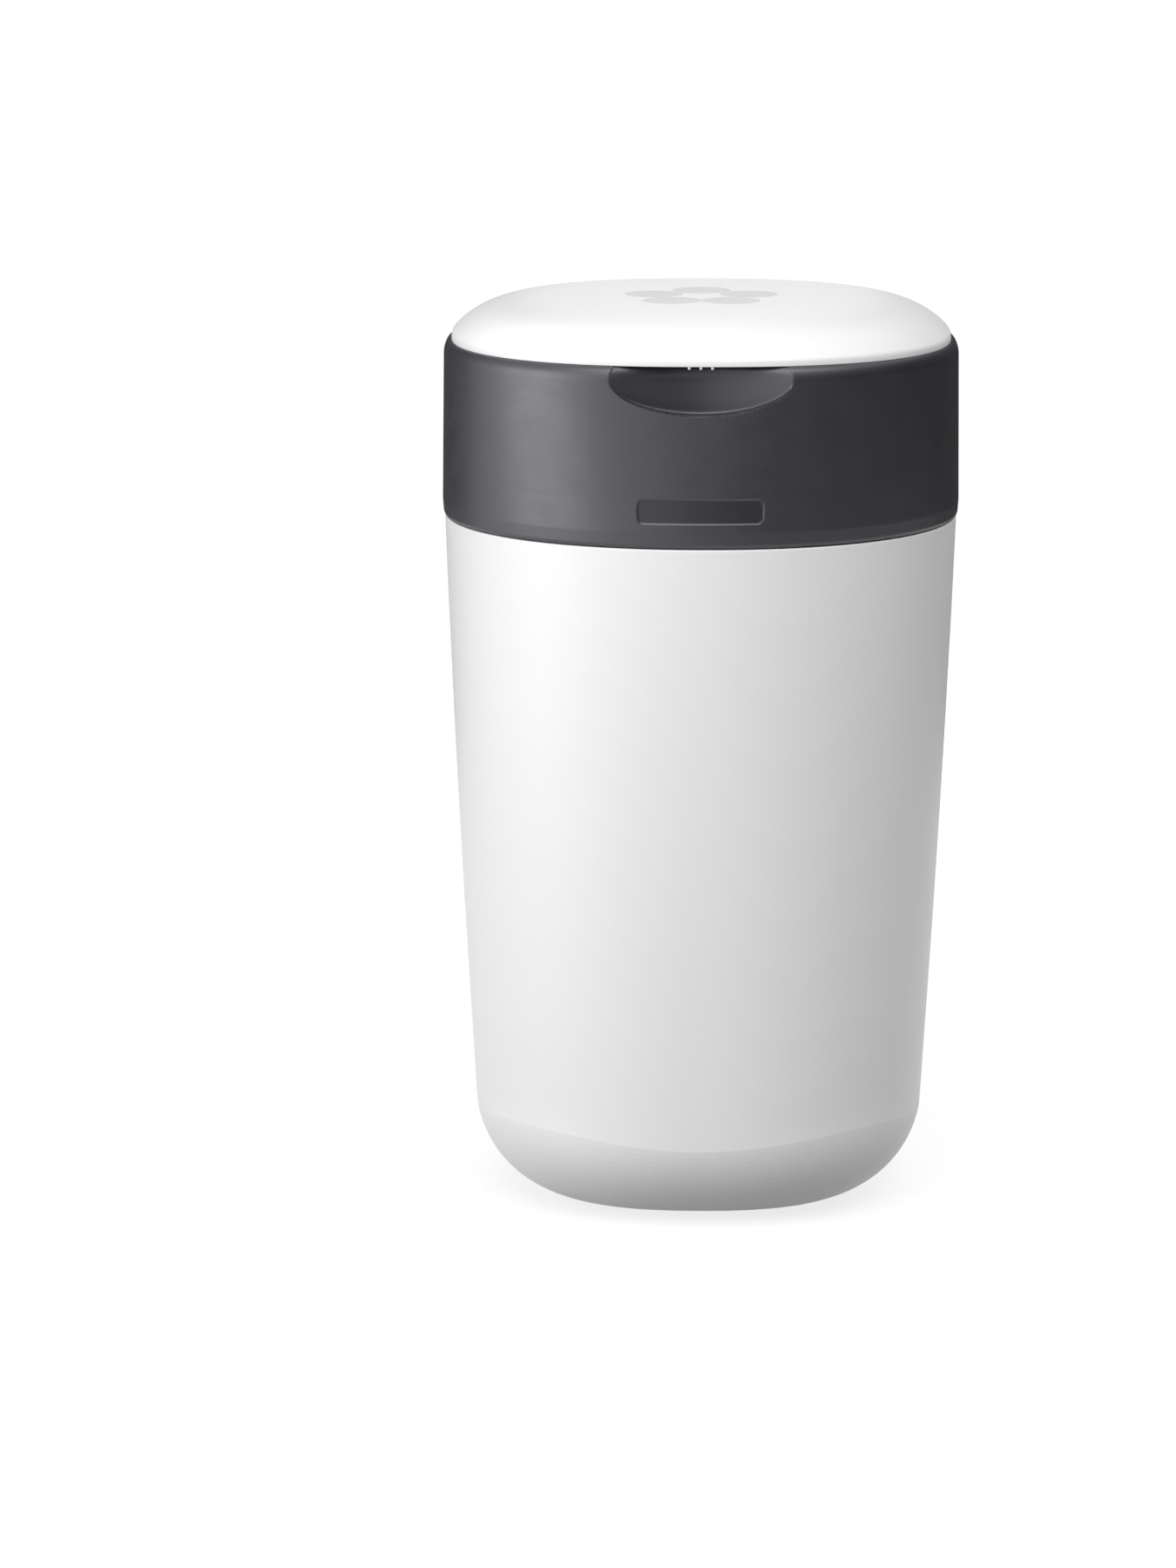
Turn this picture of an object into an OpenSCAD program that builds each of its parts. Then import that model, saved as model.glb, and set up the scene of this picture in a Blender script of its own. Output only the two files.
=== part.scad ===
// Nappy bin that wraps each nappy in film: a tapered tub, a tilting top unit with
// a hinged lid, and a cassette of film that turns in the top unit with a click.
// The origin is the middle of the base on the floor. The front faces -Y, +Z is up.

/* [Overall] */
// Width of the collar at its widest
collar_w = 260; // [250:1:280]
// Height of the collar's top edge above the floor
rim_h = 436; // [425:1:460]
// Height of the collar
collar_h = 88; // [86:1:96]
// Rise of the domed lid above its own edge
lid_rise = 20; // [17:1:28]
// Squareness of the plan at the floor, where 2 is round
foot_square = 2.7; // [2.2:0.05:3]
// Squareness of the plan where the base starts to roll under
base_square = 2.4; // [2.2:0.05:2.8]
// Squareness of the plan at the foot of the collar
waist_square = 2.15; // [2.1:0.05:2.6]
// Squareness of the plan at the lid's edge
rim_square = 2.4; // [2.2:0.05:2.8]

/* [Tub] */
// Width of the tub where the base starts to roll under
tub_base_w = 227; // [210:1:240]
// Width across the foot ring
foot_ring_w = 108; // [100:1:130]
// Step from the widest part of the collar in to the tub
tub_step = 1.2; // [1:0.1:3]
// Height of the roll between the floor and the side
base_roll = 48; // [40:1:58]
// How far the sides bow out at half height
side_bow = 1.2; // [0:0.1:2]
// Wall of the tub
tub_wall = 2.6; // [2:0.1:3.5]
// Height of the lip that locates the collar
lip_h = 12; // [8:1:14]
// Wall of the lip
lip_wall = 2.3; // [1.8:0.1:3]
// Width of the foot ring
foot_w = 8; // [5:0.5:14]
// Recess of the underside inside the foot ring
foot_recess = 1.5; // [1:0.1:2.5]

/* [Collar] */
// Wall of the collar
collar_wall = 2.6; // [2.2:0.1:3.4]
// Draft of the collar, in at the top
collar_draft = 1; // [0:0.1:2]
// Depth of the rolled bottom edge
tuck = 2.4; // [1.5:0.1:3]
// Height of the rolled bottom edge
tuck_h = 8; // [5:0.5:12]
// Width of the fillet around the top edge
top_fillet_w = 4; // [3:0.5:6]
// Height of the fillet around the top edge
top_fillet_h = 7; // [4:0.5:10]
// Width of the raised bead that the lid sits on
bead_w = 3.2; // [2.5:0.1:4]
// Drop from the bead to the shelf inside it
bead_h = 3.5; // [2.5:0.1:4]
// Thickness of the shelf
shelf_t = 2.5; // [2:0.1:3]
// Width of the curb that the tray is screwed to
curb_w = 6.5; // [6:0.5:9]
// Depth of the curb below the shelf
curb_h = 8.5; // [7:0.5:10]

/* [Finger scoop and badge] */
// Width of the finger scoop
scoop_w = 89; // [70:1:100]
// Depth of the scoop into the collar
scoop_depth = 14; // [10:0.5:16]
// Drop of the scoop below the lid's edge
scoop_drop = 23; // [18:0.5:28]
// Drop of the widest part of the scoop below the lid's edge
scoop_wide_drop = 5.3; // [3:0.1:8]
// Wall behind the scoop
scoop_wall = 2.4; // [2:0.1:3]
// Width of the bare badge recess
badge_w = 61; // [40:1:80]
// Height of the badge recess
badge_h = 13; // [8:0.5:16]
// Depth of the badge recess
badge_depth = 0.8; // [0.4:0.1:1.2]
// Height of the recess's middle above the collar's bottom edge
badge_up = 17.5; // [15:0.5:30]

/* [Lid] */
// Wall of the lid
lid_wall = 2.4; // [2:0.1:3]
// Height of the lid's upright edge below the dome
lid_edge_h = 3.1; // [2:0.1:4]
// Power of the dome's curve: a higher one gives a flatter top
dome_power = 8; // [5:0.5:10]
// Squareness of the plan at the crown of the lid
crown_square = 2.64; // [2.2:0.02:3]
// Thickness of the panel that closes the lid from below
panel_t = 2.4; // [2:0.1:3]
// Width of the seal
seal_w = 5; // [4:0.5:5.5]

/* [Tray and well] */
// Thickness of the tray
tray_t = 3; // [2.5:0.1:3.5]
// Radius of the bore that the carrier turns in
well_r = 82.5; // [81.5:0.5:86]
// Wall of the well
well_wall = 2.5; // [2:0.1:3.5]
// Depth of the well below the curb
well_depth = 64; // [63:0.5:68]
// Radius of the hole in the well's floor
throat_r = 56; // [54:0.5:58]

/* [Carrier and twist ring] */
// Number of detents in one turn of the carrier
detents = 24; // [12:12:36]
// Radius of one detent
detent_r = 2.6; // [2:0.1:3]
// Depth of one detent
detent_depth = 1.6; // [1:0.1:1.8]
// Wall of the carrier
carrier_wall = 2.6; // [2:0.1:3]
// Height of the grips on the twist ring
grip_h = 10; // [7:0.5:12]
// Thickness of the grips
grip_t = 5; // [4:0.5:6]
// Number of grips
grips = 3; // [2:1:4]

/* [Cassette and film] */
// Radius of the cassette's flange
cassette_r = 75; // [73:0.5:75.5]
// Height of the cassette's case
cassette_h = 49; // [46:0.5:50]
// Height of the flange around the case
flange_h = 10; // [7:0.5:14]
// Radius of the film tube that the nappies pass through
core_r = 46.5; // [44:0.5:47]
// Wall of the film tube
core_wall = 2.25; // [1.8:0.05:2.6]
// Height of the film tube above the case
core_rise = 12; // [8:0.5:13]
// Number of tabs that hold the film down
tabs = 12; // [8:1:14]
// Thickness of the film sleeve as modelled
film_t = 0.8; // [0.6:0.1:1]

/* [Gripper and cutter] */
// Number of gripper fingers
fingers = 12; // [8:1:14]
// Width of one finger
finger_w = 9; // [6:0.5:10]
// Thickness of a finger
finger_t = 2.4; // [1.6:0.1:3]
// Radius of the circle that the finger tips leave
finger_tip_r = 26; // [22:0.5:32]
// Drop of the finger tips below the gripper's flange
finger_drop = 21.5; // [16:0.5:26]
// Width of the film cutter
cutter_w = 36; // [30:1:44]
// Height of the film cutter
cutter_h = 24; // [20:1:28]
// Thickness of the film cutter
cutter_t = 8; // [6:0.5:10]

/* [Hinges and pawl] */
// Radius of the rod that the top unit tilts on
tilt_rod_r = 2; // [1.5:0.1:2.4]
// Radius of the tilt hinge's knuckles
tilt_knuckle_r = 4.2; // [3.8:0.1:4.4]
// Length of the tilt rod
tilt_rod_len = 68; // [64:1:72]
// Radius of the rod that the lid turns on
lid_rod_r = 1.5; // [1.2:0.1:1.8]
// Radius of the lid hinge's knuckles
lid_knuckle_r = 3.8; // [3.4:0.1:4]
// Length of the lid rod
lid_rod_len = 72; // [68:1:76]
// Radius of the pin that the click pawl turns on
pawl_pin_r = 1.5; // [1.2:0.1:1.8]
// Height of the click pawl
pawl_h = 8; // [6:0.5:10]

/* [Clearances] */
// Gap between the collar and the tub's lip, all round
lip_clear = 1; // [0.8:0.1:1.4]
// Gap between the collar's bottom edge and the tub's shoulder
shoulder_gap = 0.5; // [0.3:0.1:1]
// Gap under the closed lid
lid_gap = 0.3; // [0.2:0.1:0.6]
// Gap around a rod or pin in its bore
pin_clear = 0.05; // [0.03:0.01:0.08]
// Gap between neighbouring knuckles
knuckle_gap = 0.4; // [0.3:0.1:0.8]
// Gap around the carrier in the well
turn_clear = 0.3; // [0.2:0.05:0.5]
// Gap under the carrier, which turns on the well's floor
run_gap = 0.1; // [0.05:0.05:0.3]
// Gap around pieces that stand loosely in each other
part_gap = 0.3; // [0.2:0.05:0.4]

/* [Hidden] */

steps = 72;            // points round a lofted ring
roll_steps = 6;        // rings in the base roll
round_fn = 96;
rod_fn = 48;           // rods, knuckles and larger pins
screw_fn = 32;         // screws and their holes
overcut = 1;           // how far a cut runs past what it cuts

white = "whitesmoke";
dark = "#47464c";
grey = "darkgray";
smoke = "#2d2a2b";
mint = "#bfe3df";
steel = "silver";

// heights of the collar and lid
waist_z = rim_h - collar_h;
shelf_z = rim_h - bead_h;
curb_z = shelf_z - curb_h;
lid_z = rim_h + lid_gap;

// half widths, all at the middle of a side
collar_half = collar_w / 2;
collar_top_half = collar_half - collar_draft;
lid_half = collar_top_half - top_fillet_w;
tub_top_half = collar_half - tub_step;
tub_base_half = tub_base_w / 2;
lip_edge = 2.1;        // thickness left at the collar's bottom edge
lip_half = collar_half - tuck - lip_edge - lip_clear;
tray_gap = 1.6;
tray_half = collar_top_half - scoop_depth - scoop_wall - tray_gap;
shelf_half = tray_half - curb_w;

// tilt hinge: the rod lies just inside the tub's rear wall, below its shoulder
tilt_y = collar_half - 11;
tilt_z = waist_z - 7;
tilt_notch_half = 52;
tilt_notch_drop = 11;
tilt_lug_w = 8;
tilt_lug_drop = 20;
tilt_knuckle_w = 12;

// lid hinge: the rod lies just inside the lid's rear edge
lid_pin_y = lid_half - 4.5;
lid_pin_z = lid_z + 1.7;
lid_notch_half = 46;
lid_lug_w = 8;
lid_lug_x = 16.5;      // middle of each collar lug
lug_sweep_r = lid_knuckle_r + 2.8;

// well, carrier and cassette, from the top down
deck_z = curb_z - 8.5; // the tray's surface at the well
well_top = deck_z - 0.6;
well_bottom = curb_z - well_depth - tray_t;
well_floor = well_bottom + tray_t;
carrier_r = well_r - turn_clear;
carrier_bottom = well_floor + run_gap;
carrier_floor_t = 3;
carrier_in_r = carrier_r - 5.6;
carrier_top = deck_z + 2.1;
cassette_z = carrier_bottom + carrier_floor_t;
cassette_top = cassette_z + cassette_h;
case_r = cassette_r - 3.4;
case_wall = 2.4;
core_out = core_r + core_wall;
core_top = cassette_top + core_rise;

// detents and pawl
pawl_z = well_floor + 10;
pawl_tip_r = carrier_r - detent_depth + detent_r;   // radius of the detents' circle
pawl_tip_angle = 52.5;
pawl_pivot_r = well_r + well_wall + 8;
pawl_pivot_angle = 68;
pawl_boss_r = 4;
pawl_boss_z = pawl_z + pawl_h + 1;
pawl_window_half = 14;
pawl_pin_len = pawl_h + 10;
press_clear = 0.02;    // gap around a pin that is pressed in

// gripper
clamp_t = 2.8;
gripper_t = 3;
gripper_out = throat_r + 10;
clamp_in = throat_r + 1;
gripper_screw_r = throat_r + 5.5;
finger_root_r = throat_r - 3;

// screws
screw_r = 1.5;
screw_hole_r = screw_r + pin_clear;
screw_head_r = 3;
screw_head_h = 1.8;
screw_bite = 5;        // length of a screw in the wall that holds it

function lerp(a, b, t) = a + (b - a) * t;

// squareness of the plan at a height
function plan(z) = z < base_roll
    ? lerp(foot_square, base_square, max(z, 0) / base_roll)
    : z < waist_z
    ? lerp(base_square, waist_square, (z - base_roll) / (waist_z - base_roll))
    : lerp(waist_square, rim_square, min((z - waist_z) / collar_h, 1));

// distance from the middle to a squared-off ring of a half width, at an angle
function ring_r(half, square, angle) =
    half / pow(pow(abs(cos(angle)), square) + pow(abs(sin(angle)), square), 1 / square);

// levels are [half width, height] or [half width, height, squareness]
function level_square(level) = len(level) > 2 ? level[2] : plan(level[1]);
function loft_points(levels) = [
    for (level = levels) for (i = [0:steps - 1])
        let (angle = i * 360 / steps, r = ring_r(level[0], level_square(level), angle))
            [r * cos(angle), r * sin(angle), level[1]]
];
function band_faces(lower, upper) = [
    for (i = [0:steps - 1]) for (half = [0, 1])
        let (a = lower * steps + i, b = lower * steps + (i + 1) % steps)
        let (c = upper * steps + i, d = upper * steps + (i + 1) % steps)
            half == 0 ? [a, c, b] : [b, c, d]
];
function side_faces(rows) = [for (j = [0:rows - 2]) each band_faces(j, j + 1)];

// closed form through levels, from the first to the last, with a flat cap at both ends
module loft_solid(levels) {
    rows = len(levels);
    first_cap = [for (i = [0:steps - 1]) i];
    last_cap = [for (i = [steps - 1:-1:0]) (rows - 1) * steps + i];
    polyhedron(loft_points(levels), concat(side_faces(rows), [first_cap, last_cap]));
}

// ring whose section is the loop of levels
module loft_ring(levels) {
    rows = len(levels);
    polyhedron(loft_points(levels), concat(side_faces(rows), band_faces(rows - 1, 0)));
}

module revolve(profile) {
    rotate_extrude($fn = round_fn) polygon(profile);
}

module rod_x(r, len, y, z) {
    translate([-len / 2, y, z]) rotate([0, 90, 0]) cylinder(r = r, h = len, $fn = rod_fn);
}

// block from its two corners
module block(low, high) {
    translate(low) cube(high - low);
}

// upright hole for a screw, cut past both ends
module screw_hole(low, high) {
    translate([0, 0, low - overcut])
        cylinder(r = screw_hole_r, h = high - low + 2 * overcut, $fn = screw_fn);
}

module both_sides() {
    children();
    mirror([1, 0, 0]) children();
}

module round_copies(count, first = 0) {
    for (i = [0:count - 1]) rotate([0, 0, first + i * 360 / count]) children();
}

// ---- tub ----

function tub_half(z) =
    let (share = (z - base_roll) / (waist_z - base_roll))
        lerp(tub_base_half, tub_top_half, share) + side_bow * 4 * share * (1 - share);
tub_foot_half = foot_ring_w / 2;
tub_floor = tub_wall + foot_recess;
roll_out = tub_base_half - tub_foot_half;
roll_in = roll_out - tub_wall;
wall_shares = [0.2, 0.4, 0.6, 0.8];
wall_heights = [for (share = wall_shares) lerp(base_roll, waist_z, share)];
shoulder_z = waist_z - shoulder_gap;
edge_round = 0.8;

tub_outside = concat(
    [[tub_foot_half - foot_w, foot_recess], [tub_foot_half - foot_w, 0]],
    [for (i = [0:roll_steps]) let (a = i * 90 / roll_steps)
        [tub_foot_half + roll_out * sin(a), base_roll * (1 - cos(a))]],
    [for (z = wall_heights) [tub_half(z), z]],
    [[tub_half(shoulder_z), shoulder_z - edge_round], [tub_half(shoulder_z) - edge_round, shoulder_z]],
    [[lip_half, shoulder_z], [lip_half - lip_wall * 0.25, waist_z + lip_h - edge_round * 2]],
    [[lip_half - lip_wall * 0.55, waist_z + lip_h]]
);
tub_inside = concat(
    [[lip_half - lip_wall, waist_z + lip_h], [lip_half - lip_wall, shoulder_z - 2]],
    [[tub_half(shoulder_z) - tub_wall, shoulder_z - 6]],
    [for (i = [len(wall_heights) - 1:-1:0])
        [tub_half(wall_heights[i]) - tub_wall, wall_heights[i]]],
    [for (i = [roll_steps:-1:0]) let (a = i * 90 / roll_steps)
        [tub_foot_half + roll_in * sin(a), lerp(tub_floor, base_roll, 1 - cos(a))]],
    [[tub_foot_half - foot_w, tub_floor]]
);

module tub() {
    color(white) difference() {
        union() {
            difference() {
                loft_solid(concat(tub_outside, tub_inside));
                // notch in the rear wall for the collar's knuckles
                block([-tilt_notch_half, tilt_y - 12, tilt_z - tilt_notch_drop],
                      [tilt_notch_half, collar_half + overcut, rim_h]);
            }
            both_sides() tub_lug();
        }
        rod_x(tilt_rod_r + pin_clear, tilt_rod_len + overcut, tilt_y, tilt_z);
    }
}

// lug in the notch that carries an end of the tilt rod
module tub_lug() {
    x = tilt_rod_len / 2 - tilt_lug_w;
    translate([x, tilt_y, tilt_z]) rotate([0, 90, 0])
        cylinder(r = tilt_knuckle_r, h = tilt_lug_w, $fn = rod_fn);
    block([x, tilt_y - tilt_knuckle_r, tilt_z - tilt_lug_drop],
          [x + tilt_lug_w, tilt_y + tilt_knuckle_r, tilt_z]);
}

module tilt_rod() {
    color(steel) rod_x(tilt_rod_r, tilt_rod_len, tilt_y, tilt_z);
}

// ---- collar ----

collar_outside = concat(
    [[collar_half - tuck, waist_z], [collar_half - tuck * 0.42, waist_z + tuck_h * 0.25]],
    [[collar_half - tuck * 0.1, waist_z + tuck_h * 0.6], [collar_half, waist_z + tuck_h]],
    [[lerp(collar_half, collar_top_half, 0.5), waist_z + collar_h * 0.5]],
    [for (i = [0:4]) let (a = i * 90 / 4)
        [collar_top_half - top_fillet_w * (1 - cos(a)), rim_h - top_fillet_h * (1 - sin(a))]]
);
collar_inside = [
    [lid_half - bead_w, rim_h],
    [lid_half - bead_w - 0.5, shelf_z],
    [shelf_half, shelf_z],
    [shelf_half, curb_z],
    [tray_half, curb_z],
    [tray_half, shelf_z - shelf_t],
    [collar_top_half - collar_wall, shelf_z - shelf_t],
    [lerp(collar_half, collar_top_half, 0.5) - collar_wall, waist_z + collar_h * 0.5],
    [lip_half + lip_clear, waist_z + lip_h + 3],
    [lip_half + lip_clear, waist_z]
];

scoop_half = scoop_w / 2;
scoop_center_z = rim_h - scoop_wide_drop;
scoop_tall = scoop_drop - scoop_wide_drop;
scoop_out = (scoop_half * scoop_half - scoop_depth * scoop_depth) / (2 * scoop_depth);
scoop_axis_y = -collar_top_half - scoop_out;
scoop_steps = 8;

// Bowl turned about an upright axis in front of the collar, so that it meets the wall in
// an oval. It grows by a wall to make the pocket behind it.
module scoop_bowl(grow) {
    arc = [for (i = [0:scoop_steps]) let (u = cos(i * 90 / scoop_steps))
        [sqrt(scoop_out * scoop_out + scoop_half * scoop_half * (1 - u * u)) + grow,
         scoop_center_z - scoop_tall * u - grow]];
    top = rim_h + lid_rise;
    translate([0, scoop_axis_y, 0])
        revolve(concat([[0, top], [0, arc[0][1]]], arc, [[arc[scoop_steps][0], top]]));
}

badge_corner_r = 3.4;
badge_face_y = collar_half - 0.2;

module badge_recess() {
    x = badge_w / 2 - badge_corner_r;
    z = badge_h / 2 - badge_corner_r;
    translate([0, -badge_face_y + badge_depth, waist_z + badge_up]) rotate([90, 0, 0])
        linear_extrude(collar_half) {
            square([badge_w, 2 * z], center = true);
            square([2 * x, badge_h], center = true);
            for (sx = [-1, 1]) for (sz = [-1, 1])
                translate([sx * x, sz * z]) circle(r = badge_corner_r, $fn = screw_fn);
        }
}

// knuckle that hangs from the collar's rear wall on the tilt rod
module tilt_knuckle() {
    x = tilt_rod_len / 2 - tilt_lug_w - knuckle_gap - tilt_knuckle_w;
    translate([x, tilt_y, tilt_z]) rotate([0, 90, 0])
        cylinder(r = tilt_knuckle_r, h = tilt_knuckle_w, $fn = rod_fn);
    block([x, tilt_y - 1, tilt_z], [x + tilt_knuckle_w, tilt_y + tilt_knuckle_r, waist_z + lip_h * 2]);
    block([x, tilt_y, waist_z + 1], [x + tilt_knuckle_w, collar_half - tuck, waist_z + lip_h * 2]);
}

// lug that stands on the shelf and carries the lid rod
module lid_lug() {
    x = lid_lug_x - lid_lug_w / 2;
    translate([x, lid_pin_y, lid_pin_z]) rotate([0, 90, 0])
        cylinder(r = lid_knuckle_r, h = lid_lug_w, $fn = rod_fn);
    block([x, lid_pin_y - 3, shelf_z - 1], [x + lid_lug_w, lid_pin_y + 3, lid_pin_z]);
}

module collar() {
    color(dark) difference() {
        union() {
            difference() {
                loft_ring(concat(collar_outside, collar_inside));
                // gap in the bead for the lid's knuckles and rear edge
                block([-lid_notch_half, lid_pin_y - 4.5, shelf_z],
                      [lid_notch_half, lid_half + 1.2, rim_h + 1]);
            }
            intersection() {
                loft_solid(collar_outside);
                scoop_bowl(scoop_wall);
            }
            both_sides() tilt_knuckle();
            both_sides() lid_lug();
        }
        scoop_bowl(0);
        badge_recess();
        rod_x(tilt_rod_r + pin_clear, tilt_rod_len, tilt_y, tilt_z);
        rod_x(lid_rod_r + pin_clear, lid_notch_half * 2, lid_pin_y, lid_pin_z);
        tray_screw_places() screw_hole(curb_z, curb_z + screw_bite);
    }
}

// ---- tray, with the well that the carrier turns in ----

tray_screw_count = 6;

module tray_screw_places() {
    for (i = [0:tray_screw_count - 1])
        let (angle = 30 + i * 360 / tray_screw_count)
        let (r = ring_r((shelf_half + tray_half) / 2, plan(curb_z), angle))
            translate([r * cos(angle), r * sin(angle), 0]) children();
}

tray_fold = shelf_half - 1;
deck_r = well_r + well_wall + 1.5;
well_flange_r = well_r + well_wall + 5;
deck_mid = lerp(tray_fold, deck_r, 0.45);
deck_mid_z = lerp(curb_z, deck_z, 0.7);
mid_square = lerp(rim_square, 2, 0.5);
tray_section = [
    [tray_half, curb_z - tray_t],
    [tray_half, curb_z],
    [tray_fold, curb_z],
    [deck_mid, deck_mid_z, mid_square],
    [deck_r, deck_z, 2],
    [deck_r, deck_z - tray_t, 2],
    [deck_mid, deck_mid_z - tray_t, mid_square],
    [tray_fold, curb_z - tray_t]
];

module well() {
    out = well_r + well_wall;
    revolve([
        [throat_r, well_bottom], [out, well_bottom], [out, well_top - tray_t],
        [well_flange_r, well_top - tray_t], [well_flange_r, well_top],
        [well_r, well_top], [well_r, well_floor], [throat_r, well_floor]
    ]);
}

module pawl_place() {
    translate([pawl_pivot_r * cos(pawl_pivot_angle), pawl_pivot_r * sin(pawl_pivot_angle), 0]) children();
}

module tray() {
    color(dark) difference() {
        union() {
            loft_ring(tray_section);
            well();
            // boss that carries the pawl's pin
            pawl_place() translate([0, 0, pawl_boss_z])
                cylinder(r = pawl_boss_r, h = deck_z - overcut - pawl_boss_z, $fn = rod_fn);
        }
        // window for the pawl's nose
        rotate([0, 0, lerp(pawl_tip_angle, pawl_pivot_angle, 0.3)])
            block([carrier_r - 2, -pawl_window_half, pawl_z - 2],
                  [well_r + well_wall + 2, pawl_window_half, pawl_boss_z - 0.1]);
        pawl_place() translate([0, 0, pawl_z])
            cylinder(r = pawl_pin_r + press_clear, h = pawl_pin_len + 2, $fn = rod_fn);
        tray_screw_places() screw_hole(curb_z - tray_t, curb_z);
        gripper_screw_places() screw_hole(well_bottom, well_floor);
    }
}

module screw(length) {
    cylinder(r = screw_r, h = length, $fn = screw_fn);
    translate([0, 0, -screw_head_h]) cylinder(r = screw_head_r, h = screw_head_h, $fn = screw_fn);
}

module tray_screws() {
    color(steel) tray_screw_places() translate([0, 0, curb_z - tray_t]) screw(tray_t + screw_bite);
}

// ---- gripper that holds the twisted film ----

gripper_screw_count = 4;

module gripper_screw_places() {
    round_copies(gripper_screw_count, 45) translate([gripper_screw_r, 0, 0]) children();
}

// middle line of a finger, from its root down to its tip
function finger_r(z) = lerp(finger_tip_r, finger_root_r, (z - finger_tip_z) / finger_drop);
finger_root_z = well_bottom - gripper_t / 2;
finger_tip_z = finger_root_z - finger_drop;
finger_half_r = finger_t / 2 * sqrt(1 + pow((finger_root_r - finger_tip_r) / finger_drop, 2));

finger_top_z = well_bottom - 0.4;

module finger() {
    rotate([90, 0, 0]) translate([0, 0, -finger_w / 2]) linear_extrude(finger_w) polygon([
        [throat_r + 1, well_bottom - gripper_t], [throat_r + 1, finger_top_z],
        [finger_root_r - finger_half_r, finger_top_z],
        [finger_r(finger_root_z) - finger_half_r, finger_root_z],
        [finger_tip_r - finger_half_r, finger_tip_z], [finger_tip_r + finger_half_r, finger_tip_z],
        [finger_r(well_bottom - gripper_t) + finger_half_r, well_bottom - gripper_t]
    ]);
}

module gripper() {
    color(grey) difference() {
        union() {
            revolve([
                [throat_r - 1, well_bottom - gripper_t], [gripper_out, well_bottom - gripper_t],
                [gripper_out, well_bottom], [throat_r - 1, well_bottom]
            ]);
            round_copies(fingers) finger();
        }
        gripper_screw_places() screw_hole(well_bottom - gripper_t, well_bottom);
    }
}

clamp_top = well_bottom - gripper_t;

module gripper_clamp() {
    color(dark) difference() {
        revolve([
            [clamp_in, clamp_top - clamp_t], [gripper_out, clamp_top - clamp_t],
            [gripper_out, clamp_top], [clamp_in, clamp_top]
        ]);
        gripper_screw_places() screw_hole(clamp_top - clamp_t, clamp_top);
    }
}

module gripper_screws() {
    color(steel) gripper_screw_places() translate([0, 0, clamp_top - clamp_t])
        screw(well_floor - part_gap - clamp_top + clamp_t);
}

// ---- film cutter, a guarded blade in a slot ----

cutter_y = -(well_r + well_wall - cutter_t / 2 - 2);
cutter_top = well_bottom;
slot_mouth = 7;
slot_end = 0.8;
slot_h = cutter_h * 0.6;
blade_t = 0.6;
blade_w = 7;
blade_len = 16;
cutter_corner = 6;

module blade_shape(grow) {
    translate([0, cutter_y, cutter_top - cutter_h + slot_h - 1]) rotate([0, 45, 0])
        cube([blade_len + 2 * grow, blade_t + 2 * grow, blade_w + 2 * grow], center = true);
}

module cutter_housing() {
    bottom = cutter_top - cutter_h;
    half = cutter_w / 2;
    color(grey) difference() {
        translate([0, cutter_y + cutter_t / 2, 0]) rotate([90, 0, 0]) linear_extrude(cutter_t) polygon([
            [-half, cutter_top], [-half, bottom + cutter_corner], [cutter_corner - half, bottom],
            [-slot_mouth, bottom], [-slot_end, bottom + slot_h], [slot_end, bottom + slot_h],
            [slot_mouth, bottom], [half - cutter_corner, bottom], [half, bottom + cutter_corner],
            [half, cutter_top]
        ]);
        blade_shape(pin_clear);
    }
}

module cutter_blade() {
    color(steel) blade_shape(0);
}

// ---- click pawl ----

pin_head_h = 1.6;
nose_r = detent_r - 0.4;
nose_len = 2.8;        // from the nose's tip out to the arm behind the well's wall
nose_taper = 0.3;

module pawl_pin() {
    bottom = pawl_z - part_gap;
    color(steel) pawl_place() {
        translate([0, 0, bottom]) cylinder(r = pawl_pin_r, h = pawl_pin_len, $fn = rod_fn);
        translate([0, 0, bottom - pin_head_h])
            cylinder(r = pawl_pin_r + 1.2, h = pin_head_h, $fn = rod_fn);
    }
}

module pawl_nose(out) {
    rotate(pawl_tip_angle) translate([pawl_tip_r + out, 0])
        circle(r = nose_r - nose_taper * out / nose_len, $fn = screw_fn);
}

module click_pawl() {
    color(grey) difference() {
        translate([0, 0, pawl_z]) linear_extrude(pawl_h) {
            hull() {
                pawl_place() circle(r = pawl_boss_r, $fn = rod_fn);
                pawl_nose(nose_len);
            }
            hull() {
                pawl_nose(0);
                pawl_nose(nose_len);
            }
        }
        pawl_place() translate([0, 0, pawl_z - overcut])
            cylinder(r = pawl_pin_r + pin_clear, h = pawl_h + 2 * overcut, $fn = rod_fn);
    }
}

// ---- carrier and twist ring ----

wall_r = carrier_in_r + carrier_wall;
band_low = pawl_z - 3; // the thicker band that the detents are in
band_high = pawl_z + pawl_h + 3;
carrier_hole_r = core_r + 0.4;
rim_band_h = 10;

module carrier() {
    color(grey) difference() {
        revolve([
            [carrier_hole_r, carrier_bottom], [carrier_r - 2, carrier_bottom],
            [carrier_r - 2, band_low - 1], [carrier_r, band_low], [carrier_r, band_high],
            [wall_r, band_high + 2],
            [wall_r, carrier_top - rim_band_h - 2], [carrier_r, carrier_top - rim_band_h],
            [carrier_r, carrier_top], [carrier_in_r, carrier_top], [carrier_in_r, cassette_z],
            [carrier_hole_r, cassette_z]
        ]);
        round_copies(detents, pawl_tip_angle) translate([pawl_tip_r, 0, band_low - overcut])
            cylinder(r = detent_r, h = band_high - band_low + 2 * overcut, $fn = screw_fn);
    }
}

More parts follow.
